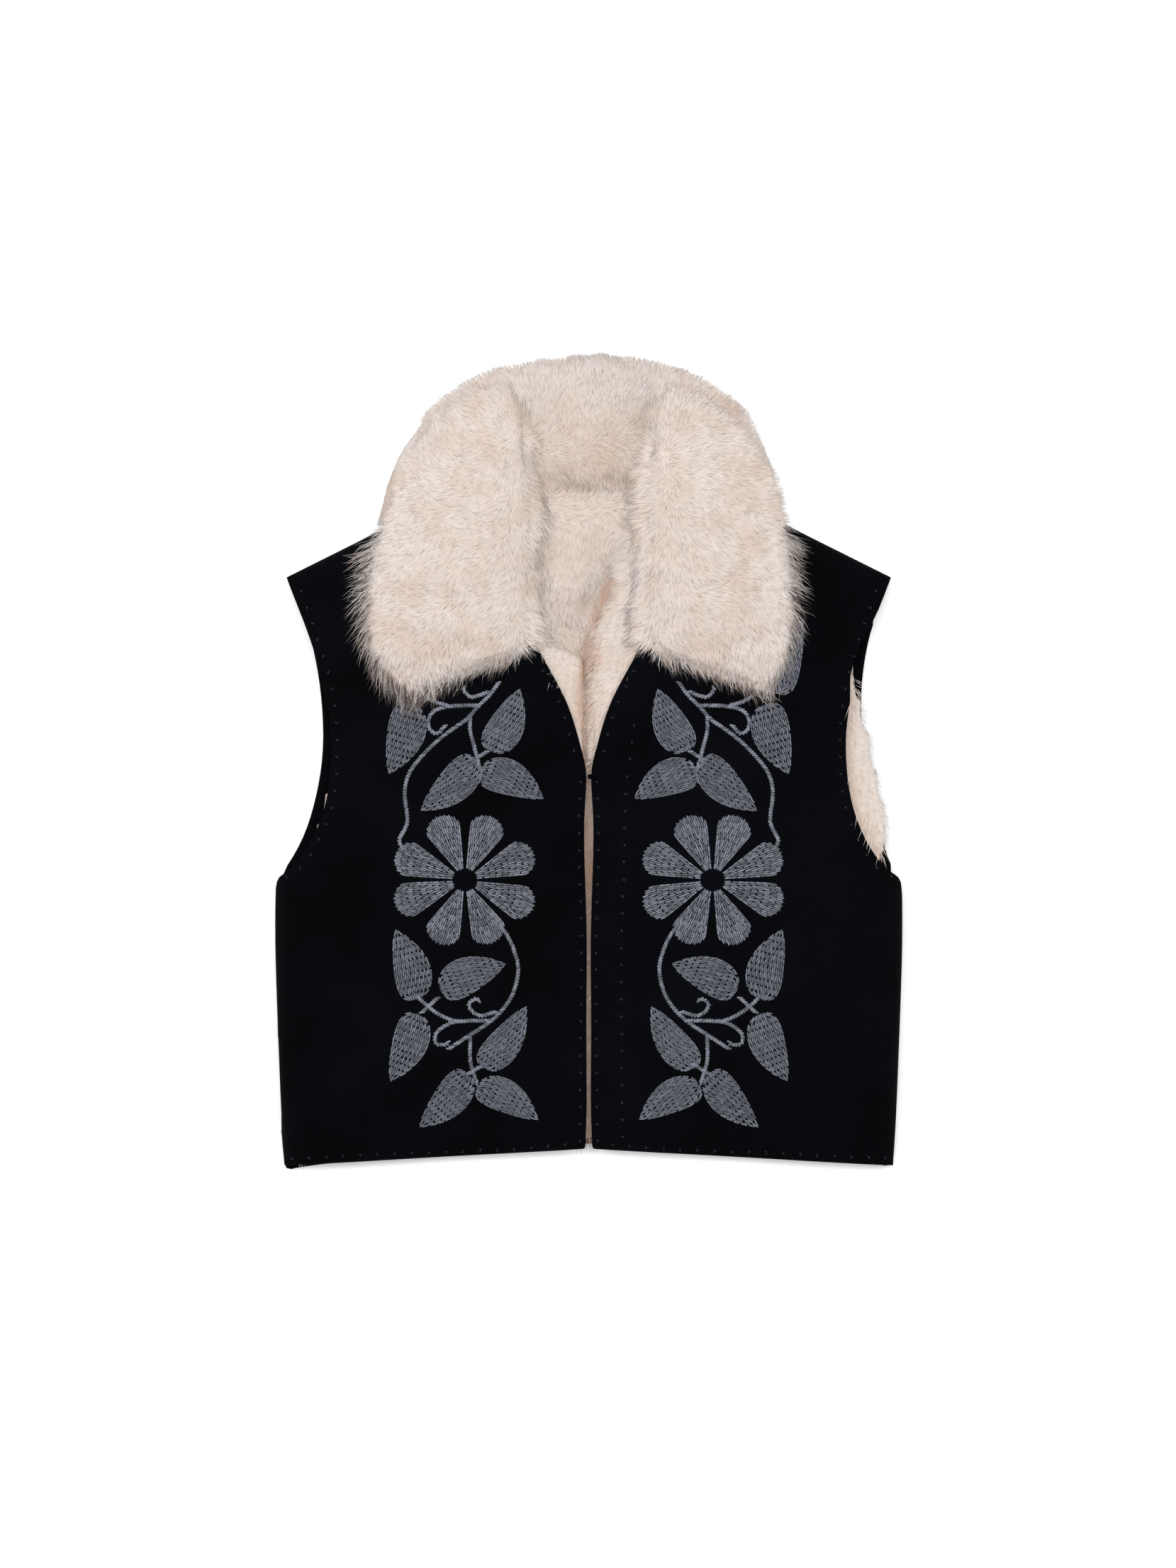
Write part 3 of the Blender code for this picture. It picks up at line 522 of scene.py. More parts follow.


# Grows hairs on a hide. It reads flow, pile and reach from the hide's points: the way the hair lies, how
# dense it is and how long. What the hairs' material reads comes from the hide too: the brown of the partings
# and painted shade, the cool grey that is painted shade at the stand's rims, and the skin.
def makeFurTree(material):
    tree, given = startGroup("growFur", {
        "Hide": "Geometry", "Hair": "Object", "Hairs per square metre": 500000.0, "Lift": 0.5, "Wander": 0.6,
        "Lock size": 0.011, "Stray": 0.25, "Sway": 0.004, "Sway size": 0.008, "Lowest point": 0.0004,
        "Seed": 1}, "Hairs")
    flow = addNode(tree, "GeometryNodeInputNamedAttribute", {"Name": "flow"}, data_type="FLOAT_VECTOR")
    pile = addNode(tree, "GeometryNodeInputNamedAttribute", {"Name": "pile"}, data_type="FLOAT")
    reach = addNode(tree, "GeometryNodeInputNamedAttribute", {"Name": "reach"}, data_type="FLOAT")
    density = addNode(tree, "ShaderNodeMath", {
        0: given["Hairs per square metre"], 1: pile.outputs["Attribute"]}, operation="MULTIPLY")
    roots = addNode(tree, "GeometryNodeDistributePointsOnFaces", {
        "Mesh": given["Hide"], "Density": density.outputs[0], "Seed": given["Seed"]})
    place = addNode(tree, "GeometryNodeInputPosition").outputs[0]

    def wavering(sizeSocket, amountSocket, offset):
        scale = addNode(tree, "ShaderNodeMath", {0: 1.0, 1: sizeSocket}, operation="DIVIDE")
        moved = addNode(tree, "ShaderNodeVectorMath", {0: place, 1: offset}, operation="ADD")
        cloud = addNode(tree, "ShaderNodeTexNoise", {
            "Vector": moved.outputs[0], "Scale": scale.outputs[0], "Detail": 2.0})
        centred = addNode(tree, "ShaderNodeVectorMath", {
            0: cloud.outputs["Color"], 1: (0.5, 0.5, 0.5)}, operation="SUBTRACT")
        return addNode(tree, "ShaderNodeVectorMath", {
            0: centred.outputs[0], "Scale": amountSocket}, operation="SCALE").outputs[0]

    lean = wavering(given["Lock size"], given["Wander"], (0.0, 0.0, 0.0))
    chance = addNode(tree, "FunctionNodeRandomValue", {
        0: (-1.0, -1.0, -1.0), 1: (1.0, 1.0, 1.0), "Seed": given["Seed"]}, data_type="FLOAT_VECTOR")
    strayed = addNode(tree, "ShaderNodeVectorMath", {
        0: chance.outputs[0], "Scale": given["Stray"]}, operation="SCALE")
    swept = addNode(tree, "ShaderNodeVectorMath", {0: flow.outputs["Attribute"], 1: lean}, operation="ADD")
    swept = addNode(tree, "ShaderNodeVectorMath", {
        0: swept.outputs[0], 1: strayed.outputs[0]}, operation="ADD")
    lying = addNode(tree, "ShaderNodeVectorMath", {0: swept.outputs[0]}, operation="NORMALIZE")
    raised = addNode(tree, "ShaderNodeVectorMath", {
        0: roots.outputs["Normal"], "Scale": given["Lift"]}, operation="SCALE")
    rootWay = addNode(tree, "ShaderNodeVectorMath", {
        0: lying.outputs[0], 1: raised.outputs[0]}, operation="ADD")
    upright = addNode(tree, "FunctionNodeAlignRotationToVector", {"Vector": rootWay.outputs[0]}, axis="Z")
    turned = addNode(tree, "FunctionNodeAlignRotationToVector", {
        "Rotation": upright.outputs[0], "Vector": lying.outputs[0]}, axis="X", pivot_axis="Z")
    uneven = addNode(tree, "FunctionNodeRandomValue", {
        2: 0.62, 3: 1.18, "Seed": given["Seed"]}, data_type="FLOAT")
    long = addNode(tree, "ShaderNodeMath", {
        0: reach.outputs["Attribute"], 1: uneven.outputs[1]}, operation="MULTIPLY")
    source = addNode(tree, "GeometryNodeObjectInfo", {"Object": given["Hair"], "As Instance": False})
    grown = addNode(tree, "GeometryNodeInstanceOnPoints", {
        "Points": roots.outputs["Points"], "Instance": source.outputs["Geometry"],
        "Rotation": turned.outputs[0], "Scale": long.outputs[0]})
    toneChance = addNode(tree, "FunctionNodeRandomValue", {2: 0.0, 3: 1.0, "Seed": 5}, data_type="FLOAT")
    toned = addNode(tree, "GeometryNodeStoreNamedAttribute", {
        "Geometry": grown.outputs[0], "Name": "tone", "Value": toneChance.outputs[1]}, data_type="FLOAT",
        domain="INSTANCE")
    real = addNode(tree, "GeometryNodeRealizeInstances", {"Geometry": toned.outputs[0]})
    along = addNode(tree, "GeometryNodeInputNamedAttribute", {"Name": "along"}, data_type="FLOAT")
    loose = addNode(tree, "ShaderNodeMath", {0: along.outputs["Attribute"], 1: 2.0}, operation="POWER")
    drift = wavering(given["Sway size"], given["Sway"], (0.31, 0.17, 0.05))
    drift = addNode(tree, "ShaderNodeVectorMath", {0: drift, "Scale": loose.outputs[0]}, operation="SCALE")
    swayed = addNode(tree, "GeometryNodeSetPosition", {
        "Geometry": real.outputs[0], "Offset": drift.outputs[0]})
    parts = addNode(tree, "ShaderNodeSeparateXYZ", {0: place})
    kept = addNode(tree, "ShaderNodeMath", {
        0: parts.outputs["Z"], 1: given["Lowest point"]}, operation="MAXIMUM")
    clear = addNode(tree, "ShaderNodeCombineXYZ", {
        "X": parts.outputs["X"], "Y": parts.outputs["Y"], "Z": kept.outputs[0]})
    lifted = addNode(tree, "GeometryNodeSetPosition", {
        "Geometry": swayed.outputs[0], "Position": clear.outputs[0]})
    painted = addNode(tree, "GeometryNodeSetMaterial", {"Geometry": lifted.outputs[0], "Material": material})
    addNode(tree, "NodeGroupOutput", {"Hairs": painted.outputs[0]})
    return tree


def setInputs(modifier, values):
    for item in modifier.node_group.interface.items_tree:
        if item.item_type == "SOCKET" and item.in_out == "INPUT" and item.name in values:
            modifier[item.identifier] = values[item.name]


# Along a spine: how far out and up it is, its girth there, and its share of the way from root to tip.
coatHair = makeHair("coatHair", 0.0135, [{"out": 0, "up": -0.05, "along": 0},
                                         {"out": 0.09, "up": 0.44, "size": 1, "along": 0.5},
                                         {"out": 0.46, "up": 0.82, "along": 1}])
guardHair = makeHair("guardHair", 0.0135, [{"out": 0, "up": -0.04, "along": 0.3},
                                           {"out": 0.04, "up": 0.34, "size": 1, "along": 0.6},
                                           {"out": 0.2, "up": 0.7, "size": 0.66, "along": 0.85},
                                           {"out": 0.42, "up": 0.96, "along": 1}])
furTree = makeFurTree(pileFur)


# Sizes of each hide in mm: how coarse its faces are, how far inside the solid it lies, how much nearer to the
# solid it stays at its inner side and at the front, the depth and size of its lumps, its lowest point, and
# how far a fall's inner corner is moved up, away from the foot of the open neck.
hideColumns = ("voxel", "inset", "keepSide", "keepFront", "lump", "lumpSize", "lowest", "cornerLift")
hideSettings = {kind: dict(zip(hideColumns, row)) for kind, row in {
    "fall": (3.6, 5.0, 3.0, -4.0, 1.8, 24.0, 17.9, 11.0),
    "stand": (3.6, 3.0, 0.0, 2.2, 1.2, 22.0, 2.3, 0.0),
    "lining": (6.2, 0.9, 0.0, 0.0, 0.9, 14.0, 2.3, 0.0),
    "frontLining": (5.6, 0.9, 0.0, 0.0, 0.6, 12.0, 10.3, 0.0),
}.items()}

# What goes into growFur for each layer of hair. Its sizes are in metres, because the node tree works in them.
furColumns = ("Hairs per square metre", "Lift", "Wander", "Lock size", "Stray", "Sway", "Sway size",
              "Lowest point", "Seed")
furSettings = {kind: dict(zip(furColumns, row)) for kind, row in {
    "fall": (960000.0, 0.45, 1.0, 0.016, 0.22, 0.007, 0.010, 0.0179, 3),
    "stand": (960000.0, 0.4, 1.0, 0.016, 0.22, 0.007, 0.010, 0.0006, 7),
    "lining": (600000.0, 0.4, 1.0, 0.014, 0.22, 0.007, 0.009, 0.0045, 11),
    "frontLining": (800000.0, 0.35, 0.8, 0.014, 0.22, 0.006, 0.009, 0.0108, 13),
    "guard": (480000.0, 0.3, 0.7, 0.018, 0.26, 0.010, 0.014, 0.0252, 17),
}.items()}


# The hide is the solid drawn in by part of the pile's depth, in soft lumps where the pile clings together.
def makeHide(nodeName, pieceName, settings):
    piece = addPiece(pieceName, copySolid(nodeName), underfur)
    even = piece.modifiers.new("even", "REMESH")
    even.mode = "VOXEL"
    even.voxel_size = settings["voxel"] * mm
    settle(piece)
    points, normals = readPoints(piece.data), readNormals(piece.data)
    for point, normal in zip(points, normals):
        lump = noise.noise(Vector(point) / (settings["lumpSize"] * mm))
        inset = settings["inset"] - settings["keepSide"] * max(-normal[0] * math.copysign(1, point[0]), 0.0)
        inset -= settings["keepFront"] * max(-normal[1], 0.0)
        point -= normal * (inset - settings["lump"] * lump) * mm
        x, y = abs(point[0]) / mm, point[1] / mm
        point[1] += settings["cornerLift"] * ease((68 - x) / 28) * ease((116 - y) / 28) * mm
    points[:, 2] = np.maximum(points[:, 2], settings["lowest"] * mm)
    writePoints(piece.data, points)
    piece.data.shade_smooth()
    return piece


# Grows one layer of hair. Each point of the hide says how its hair lies, and how dense and long the layer
# is there.
def growFur(hide, furName, hair, settings, combed, layer):
    mesh = hide.data.copy()
    normals = [Vector(normal) for normal in readNormals(mesh)]
    flows = []
    for c, normal in zip(combed, normals):
        flow = Vector(c["flow"])
        whorl = max(1 - flow.length / 0.6, 0.0)  # where the ways it lies meet, the hair stands up
        flow.normalize()
        # it never grows into the hide
        flow += normal * (c["rise"] + 1.2 * whorl - min(flow.dot(normal), 0.0))
        flows.append(flow.normalized()[:])
    writeAttribute(mesh, "flow", flows, "FLOAT_VECTOR")
    writeAttribute(mesh, "pile", [c[layer][0] for c in combed])
    writeAttribute(mesh, "reach", [c[layer][1] * mm for c in combed])
    writeAttribute(mesh, "chill", [c["chill"] for c in combed])
    fur = addPiece(furName, mesh)
    grow = fur.modifiers.new("grow", "NODES")
    grow.node_group = furTree
    setInputs(grow, {"Hair": hair, **settings})
    settle(fur)
    fur.visible_shadow = fur.visible_diffuse = False  # light gets through the pile
    print(furName, "triangles", triangleCount(fur.data))
    return fur


# Slow turns in the lie of the fur, where it has been folded and stroked.
def swirl(x, y, size, amount):
    place = Vector((x, y, 0)) / size
    return amount * noise.noise(place), amount * noise.noise(place + Vector((7.3, 1.9, 0)))


# How the turned collar is combed: out from the neck at the top, sideways along the shoulder, down at the
# front and along its fold. Hair on the fold is longer, so that it closes over the dip beside the neck. The
# fall at -X has longer hairs at its outer rim. Every comb returns the way the hair lies, how much it rises,
# each layer's density and length in mm, how much cool grey and how much brown it takes (both partly painted
# shade), and how open to the sky it looks.
fallLie = {"coat": 19.0, "fold": 27.0, "rim": 8.5, "outerRim": {-1: 14.0, 1: 11.0}, "shortGuard": 15.0,
           "guard": 18.0, "outerGuard": {-1: 30.0, 1: 24.0}, "turnSize": 44, "turn": 0.9}


def combFall(side):
    def comb(x, y, z, normal, room):
        out = abs(x)
        top, low = ease((y - 165) / 95), ease((150 - y) / 75)
        length = math.hypot(out, y - 195)
        flowX = out / length * top + (1 - top - low) + 0.22 * low
        flowY = (y - 195) / length * top - 0.45 * (1 - top - low) - low
        fold = ease((84 - out) / 34)
        edge = ease((60 - out) / 12)
        flowX = flowX * (1 - fold) - (0.15 + 1.1 * edge) * fold
        flowY = flowY * (1 - fold) - (0.8 - 1.6 * ease((y - 236) / 40)) * fold
        turnX, turnY = swirl(x, y, fallLie["turnSize"], fallLie["turn"])
        rim = ease((0.55 - normal[2]) / 0.5) * (1 - edge)
        overCloth = ease((196 - y) / 12)  # long guard hairs show where the fur ends over the black cloth
        wisps = rim * overCloth
        pile = 1.0 if normal[2] > -0.35 + 0.5 * edge else 0.0
        flow = ((flowX + turnX * (1 - rim)) * side, flowY + turnY * (1 - rim), -0.3 * rim - 0.3 * edge)
        outer = ease((out - 84) / 50)
        shortest = fallLie["rim"] + (fallLie["outerRim"][side] - fallLie["rim"]) * outer
        longest = fallLie["guard"] + (fallLie["outerGuard"][side] - fallLie["guard"]) * outer
        reach = min(fallLie["coat"], shortest + 0.85 * room) * (1 - edge) + fallLie["fold"] * edge
        guardReach = fallLie["shortGuard"] + (longest - fallLie["shortGuard"]) * wisps
        return {"flow": flow, "rise": 0.0, "coat": (pile, reach), "guard": (0.02 + 0.98 * wisps, guardReach),
                "chill": 0.0, "deep": 0.0, "sky": 0.7 + 2.6 * max(edge, ease((66 - out) / 20))}
    return comb


# The stand's pile turns from down at the neck seam to outward at the rim. Its ends beside the falls are
# short and smooth, and there is next to none where the falls lie on it.
standLie = {"coat": 18.0, "rim": 7.0, "side": 8.0, "sideFrom": 120, "coveredTo": 118, "turnSize": 38,
            "turn": 0.7}


def combStand(x, y, z, normal, room):
    pile = 1.0 if normal[2] > -0.3 else 0.0
    rim = ease((0.5 - normal[2]) / 0.5) * ease((y - 250) / 20)
    sideRim = ease((abs(x) - standLie["sideFrom"]) / 14)
    fromFold = math.hypot(x / 1.02, (y - 190) / 0.86)
    covered = ease((abs(x) - 50) / 12) * (1 - ease((fromFold - standLie["coveredTo"]) / 10)) * (1 - sideRim)
    turnX, turnY = swirl(x, y, standLie["turnSize"], standLie["turn"])
    outward = math.atan2(y - 190, x)
    heading = outward + (-1.3 - outward) * (1 - ease((y - 226) / 52)) * ease((90 - abs(x)) / 20)
    flowX = (math.cos(heading) + turnX * (1 - rim)) * (1 - sideRim) + math.copysign(0.3, x) * sideRim
    flowY = (math.sin(heading) + turnY * (1 - rim)) * (1 - sideRim) - 0.9 * sideRim
    reach = min(standLie["coat"], standLie["rim"] + 0.85 * room) if y > 236 else standLie["coat"]
    reach -= (reach - standLie["side"]) * sideRim
    # greyer at the side rims, painted shade where the fur turns away, and a greyer tone towards the top
    chill = max(sideRim, 0.55 * ease((y - 250) / 44) * ease((84 - abs(x)) / 40))
    # painted shade: brown at the neck seam, and the whole stand a little darker
    atSeam = ease((236 - y) / 6) * ease((16 - x) / 12)
    return {"flow": (flowX, flowY, -0.15 * rim), "rise": 0.0, "coat": (pile * (1 - 0.95 * covered), reach),
            "chill": chill, "deep": max(0.5 * atSeam, 0.24 * (1 - sideRim)), "sky": 0.9}


# The open neck's hair parts along a groove that wanders down to where the fronts meet.
neckGroove = [(-60, -6), (10, -6), (41, -4), (80, -1), (112, 3), (128, 12), (150, 18), (185, 10), (230, 4)]

# Where the fur of the back comes out past the front's armhole edge: how far out at each height.
armholeEdge = {"y": [-90, -80, -58, -29, 3, 34, 68, 104, 138],
               "x": [252, 241, 227, 217, 211, 209, 208, 214, 230]}


def besideGroove(x, y):
    for (lowY, lowX), (highY, highX) in zip(neckGroove, neckGroove[1:]):
        if lowY <= y <= highY:
            return x - lowX - (highX - lowX) * (y - lowY) / (highY - lowY)
    return x


# How much brown goes on along the groove where the hair parts: the roots showing there, and painted shade in the
# groove.
def brownShade(x, y, width):
    wide = width * (1 + 0.5 * ease((110 - y) / 20) * ease((y - 30) / 30))
    return ease((wide - abs(besideGroove(x, y))) / (0.6 * wide)) * ease((188 - y) / 40)


# The back's fur is grown only where it shows: in the open neck, at the right armhole, at the hem and
# between the fronts. In the neck it turns from down to up at the seam, and rises beside the falls.
backLie = {"coat": 17.0, "armhole": 11.0, "hem": 13.0, "groove": 9.0, "turnSize": 30, "turn": 0.9}


def combBack(x, y, z, normal, room):
    pile = 1.0 if normal[2] > -0.2 else 0.0
    inNeck = ease((y - 10) / 30) * ease((min(66, 26 + (y - 60) * 0.5) - abs(x)) / 10)
    inArmhole = ease((x - np.interp(y, armholeEdge["y"], armholeEdge["x"])) / 4) * ease((y + 86) / 8)
    inArmhole *= ease((78 - y) / 14)
    atHem = ease((-296 - y) / 6) if normal[2] < 0.5 else 0.0
    atGap = ease((7 - abs(x)) / 3) * 0.6
    deep = rise = 0.0
    if inArmhole > 0.2:
        upper = ease((y - 30) / 30)
        flow, reach = (0.75 + 0.15 * upper, -0.7, 0.1), backLie["armhole"] + 3.0 * upper
    elif atHem > 0.2:
        flow, reach = (0.15 * math.copysign(1.0, x), -1.0, 0.0), backLie["hem"]
    else:
        turnX, turnY = swirl(x, y, backLie["turnSize"], backLie["turn"])
        side = besideGroove(x, y)
        fromRight = ease((side + 2) / 12) * ease((y - 60) / 40) * ease((200 - y) / 20)
        dip = ease((abs(x) - 24) / 12)
        seam = ease((y - 184) / 32)
        heading = -1.5 + 2.6 * seam
        flow = (math.cos(heading) - 0.9 * fromRight + turnX, math.sin(heading) + 0.3 * fromRight + turnY, 0.0)
        rise = 0.9 * dip
        reach = backLie["coat"] + 7.0 * dip
        # painted shade: brown along the groove and at the neck seam, and the whole open neck a little darker
        deep = max(brownShade(x, y, backLie["groove"]), 0.6 * ease((y - 206) / 8) * ease((16 - x) / 12), 0.26)
    shown = max(inNeck, inArmhole, atHem, atGap)
    chill = max(0.3 * inNeck * ease((y - 60) / 70), 0.7 * inArmhole)
    return {"flow": flow, "rise": rise, "coat": (pile * shown, reach), "chill": chill, "deep": deep,
            "sky": 0.9 + 1.6 * ease((abs(x) - 22) / 14)}


# The fronts' fur shows along the open neck. At +X it lies across towards the groove, at -X it is short and
# turns from down to up.
frontLie = {"right": 17.0, "left": 12.0, "rightGroove": 10.0, "leftGroove": 6.0}


def combFront(side):
    def comb(x, y, z, normal, room):
        out = abs(x)
        clothEdge = 7 + max(0.27 * (y - 10), 8 + 0.5 * (y - 40))  # the front's edge; hair stays inside it
        openEdge = ease((y + 8) / 20) * ease((clothEdge + (2 if side > 0 else -3) - out) / 4)
        closedEdge = ease((5 - out) / 3)
        atRim = 1.0 if normal[2] < 0.5 else 0.0  # under the cloth only the rim has pile
        pile = max(openEdge, closedEdge * atRim) if normal[2] > -0.4 else 0.0
        if side > 0:
            turnX, turnY = swirl(x, y, 24, 0.5)
            flow = (-0.8 + turnX, -0.6 + turnY, -0.1)
            rise, reach, groove = 0.0, frontLie["right"], frontLie["rightGroove"]
        else:
            turnX, turnY = swirl(x, y, 26, 0.3)
            upper = ease((y - 52) / 34)
            flow = (0.3 - upper + turnX, -0.9 + 1.3 * upper + turnY, 0.0)
            rise, reach, groove = 0.25, frontLie["left"], frontLie["leftGroove"]
        # painted shade: brown along the groove
        return {"flow": flow, "rise": rise, "coat": (pile, reach), "chill": 0.0,
                "deep": openEdge * brownShade(x, y, groove), "sky": 1.2}
    return comb


# Finds the nearest point at a hide's rim, in plan: pile gets shorter towards it.
def makeRimTree(places, normals):
    rims = [place for place, normal in zip(places, normals) if abs(normal[2]) < 0.4]
    rimTree = KDTree(len(rims))
    for k, place in enumerate(rims):
        rimTree.insert((place[0], place[1], 0), k)
    rimTree.balance()
    return rimTree


furPieces = []
for nodeName, pieceName, kind, comb in (
    ("collar_left", "collarLeft", "fall", combFall(-1)),
    ("collar_right", "collarRight", "fall", combFall(1)),
    ("collar_stand", "collarStand", "stand", combStand),
    ("back_lining", "backLining", "lining", combBack),
    ("front_lining_left", "frontLiningLeft", "frontLining", combFront(-1)),
    ("front_lining_right", "frontLiningRight", "frontLining", combFront(1)),
):
    hide = makeHide(nodeName, pieceName, hideSettings[kind])
    places, normals = readPoints(hide.data) / mm, readNormals(hide.data)
    rimTree = makeRimTree(places, normals)
    rooms = [rimTree.find((place[0], place[1], 0))[2] for place in places]
    combed = [comb(*place, normal, room) for place, normal, room in zip(places, normals, rooms)]
    writeAttribute(hide.data, "deep", [c["deep"] for c in combed])
    skinward = [(Vector(n) + Vector((0, 0, c["sky"]))).normalized()[:] for c, n in zip(combed, normals)]
    writeAttribute(hide.data, "skin", skinward, "FLOAT_VECTOR")
    hide.visible_shadow = hide.visible_diffuse = kind != "fall"  # a fall throws no hard shadow into the neck
    furs = [growFur(hide, pieceName + "Pile", coatHair, furSettings[kind], combed, "coat")]
    if kind == "fall":
        furs.append(growFur(hide, pieceName + "GuardHairs", guardHair, furSettings["guard"], combed, "guard"))
    for piece in [hide] + furs:
        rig.ride(piece, "root")
        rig.slot(piece, "fur")
    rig.replaces(hide, nodeName)
    furPieces.append((hide, furs))
print("fur ready")


# Embroidery: stitches laid on the fronts, placed here in plan and made by a node tree.

embroidery = {
    "flower": {"centre": (98.3, -92.5), "inner": 9.0, "length": 44.5, "width": 27.6, "wide": 1.11,
               "tall": 1.0, "petals": 8, "turn": 22.5},
    "leaves": [dict(zip(("foot", "tip", "width", "bend"), row)) for row in (
        ((137, -187), (152, -132), 30, 3.5),
        ((117, -180), (67, -158), 30, -3.0),
        ((136, -199), (156, -252), 29, -3.0),
        ((84, -241), (49, -194), 27, 3.0),
        ((96, -246), (133, -289), 28, -3.0),
        ((88, -256), (40, -281), 27, -3.5),
        ((141, 47), (157, -8), 31, -3.0),
        ((78, 10), (54, 58), 29, 3.0),
        ((90, 3), (132, -38), 29, -3.0),
        ((86, -6), (36, -26), 29, -4.0),
        ((150, 56), (168, 114), 30, 4.0),
    )],
    "vines": [  # points along each vine
        [(148, -67), (150, -60), (144, -46), (146, -24), (143, -9), (134, 4), (120, 18), (107, 28), (97, 35),
         (88, 45), (78, 55), (71, 65)],
        [(88, 46), (100, 46), (112, 45), (122, 42), (127, 35), (126, 27), (120, 24), (114, 30)],
        [(112, 46), (122, 49), (131, 54)],
        [(80, 57), (87, 54), (94, 53), (99, 58), (99, 62)],
        [(94, 36), (94, 26), (91, 14), (87, -1), (85, -6)],
        [(91, 3), (80, 10)],
        [(73, -126), (65, -136), (59, -149), (56, -164), (60, -182), (69, -196), (80, -206), (92, -214),
         (112, -227)],
        [(74, -197), (85, -200), (92, -197), (95, -191), (90, -187), (85, -189)],
        [(78, -204), (92, -204), (107, -204), (122, -197), (135, -186)],
        [(102, -204), (112, -207), (121, -214), (121, -222), (114, -223), (111, -220)],
        [(120, -186), (134, -199)],
        [(94, -218), (94, -235), (91, -247), (88, -255)],
        [(95, -246), (82, -238)],
    ],
    "petalStitch": {"length": 6.9, "width": 1.6, "height": 0.8, "rowPitch": 5.2, "columnPitch": 1.6,
                    "slant": 0.0, "pale": 0.92},
    "leafStitch": {"length": 6.6, "width": 1.6, "height": 0.8, "rowPitch": 5.0, "columnPitch": 1.65,
                   "slant": 3.0, "pale": 0.55},
    "vineStitch": {"length": 6.0, "width": 2.0, "height": 1.4, "pitch": 2.4, "slant": 34.0},
}


# Half widths from foot to tip, as shares of the widest: a leaf is round at its foot, a petal at its tip.
def leafOutline(u):
    return u ** 0.38 * (1 - u) ** 0.78 / 0.4665


def petalOutline(u):
    return 0.2 + 0.8 * min(u / 0.74, 1.0) ** 0.95


def oneStitch(spot, way, stitch, long, dice):
    turn = math.atan2(way.y, way.x) + math.radians(stitch["slant"] + dice.uniform(-4, 4))
    return (spot.x, spot.y, turn, long * dice.uniform(0.92, 1.06), stitch["width"] * dice.uniform(0.9, 1.08),
            stitch["height"] * dice.uniform(0.85, 1.15), dice.random() * stitch["pale"])


# Stitches over a leaf run from foot to tip in rows, each row as wide as the leaf is there.
def leafStitches(leaf, stitch, dice):
    foot, tip = Vector(leaf["foot"]), Vector(leaf["tip"])
    chord = (tip - foot).normalized()
    side = Vector((-chord.y, chord.x))

    def placeOn(u, share):
        u = min(max(u, 0.004), 0.996)
        wide = share * leafOutline(u) * (leaf["width"] / 2 - 0.4)
        bend = leaf["bend"] * (math.sin(math.pi * u) - 0.35 * u * u)
        return foot + (tip - foot) * u + side * (bend + wide)

    rows = round((tip - foot).length / stitch["rowPitch"])
    made = []
    for row in range(rows):
        u = (row + 0.5) / rows
        count = max(round(leafOutline(u) * leaf["width"] / stitch["columnPitch"]), 1)
        for column in range(count):
            share = (2 * column + 1) / count - 1
            here = u + (0.24 * (column % 2) - 0.12 + dice.uniform(-0.05, 0.05)) / rows
            way = placeOn(here + 0.03, share) - placeOn(here - 0.03, share)
            made.append(oneStitch(placeOn(here, share), way, stitch, stitch["length"], dice))
    return made


# Rows over a petal are straight by the flower's middle and as round as its tip at the far end.
def petalStitches(start, run, halfWidth, stitch, dice):
    way, length = run.normalized(), run.length
    side = Vector((-way.y, way.x))

    def placeOn(rho, share):
        along = rho * (0.74 + 0.26 * math.sqrt(1 - share * share))
        return start + way * along * length + side * share * petalOutline(along) * halfWidth

    rows = round(length / stitch["rowPitch"])
    made = []
    for row in range(rows):
        rho = (row + 0.5) / rows
        count = max(round(2 * petalOutline(rho * 0.9) * halfWidth / stitch["columnPitch"]), 3)
        for column in range(count):
            share = (2 * column + 1) / count - 1
            here = rho + (0.16 * (column % 2) - 0.08 + dice.uniform(-0.05, 0.05)) / rows
            heading = placeOn(here + 0.04, share) - placeOn(here - 0.04, share)
            long = stitch["length"] * (0.72 + 0.28 * math.sqrt(1 - share * share))
            made.append(oneStitch(placeOn(here, share), heading, stitch, long, dice))
    return made


def flowerStitches(flower, stitch, dice):
    made = []
    centre = Vector(flower["centre"])
    for k in range(flower["petals"]):
        turn = math.radians(flower["turn"] + 360 / flower["petals"] * k + 1.8 * math.sin(1.9 * k))
        way = Vector((math.cos(turn) * flower["wide"], math.sin(turn) * flower["tall"]))
        made += petalStitches(centre + way * flower["inner"], way * flower["length"], flower["width"] / 2,
                              stitch, dice)
    return made


# Points at an even pitch along a smooth curve through the given ones, each with its heading.
def walkCurve(points, pitch):
    line = [Vector(p) for p in points]
    line = [2 * line[0] - line[1]] + line + [2 * line[-1] - line[-2]]
    fine = []
    for i in range(1, len(line) - 2):
        p0, p1, p2, p3 = line[i - 1:i + 3]
        for k in range(24):
            t = k / 24
            fine.append(0.5 * ((2 * p1) + (p2 - p0) * t + (2 * p0 - 5 * p1 + 4 * p2 - p3) * t * t
                               + (3 * p1 - p0 - 3 * p2 + p3) * t ** 3))
    fine.append(line[-2])
    walked, carry = [], 0.0
    for a, b in zip(fine, fine[1:]):
        gap = (b - a).length
        while carry <= gap and gap > 1e-9:
            walked.append((a + (b - a) * (carry / gap), (b - a).normalized()))
            carry += pitch
        carry -= gap
    return walked


def vineStitches(points, stitch, dice):
    made = []
    for place, way in walkCurve(points, stitch["pitch"]):
        turn = math.atan2(way.y, way.x) + math.radians(stitch["slant"])
        made.append((place.x, place.y, turn, stitch["length"] * dice.uniform(0.92, 1.08), stitch["width"],
                     stitch["height"] * dice.uniform(0.9, 1.1), dice.random()))
    return made


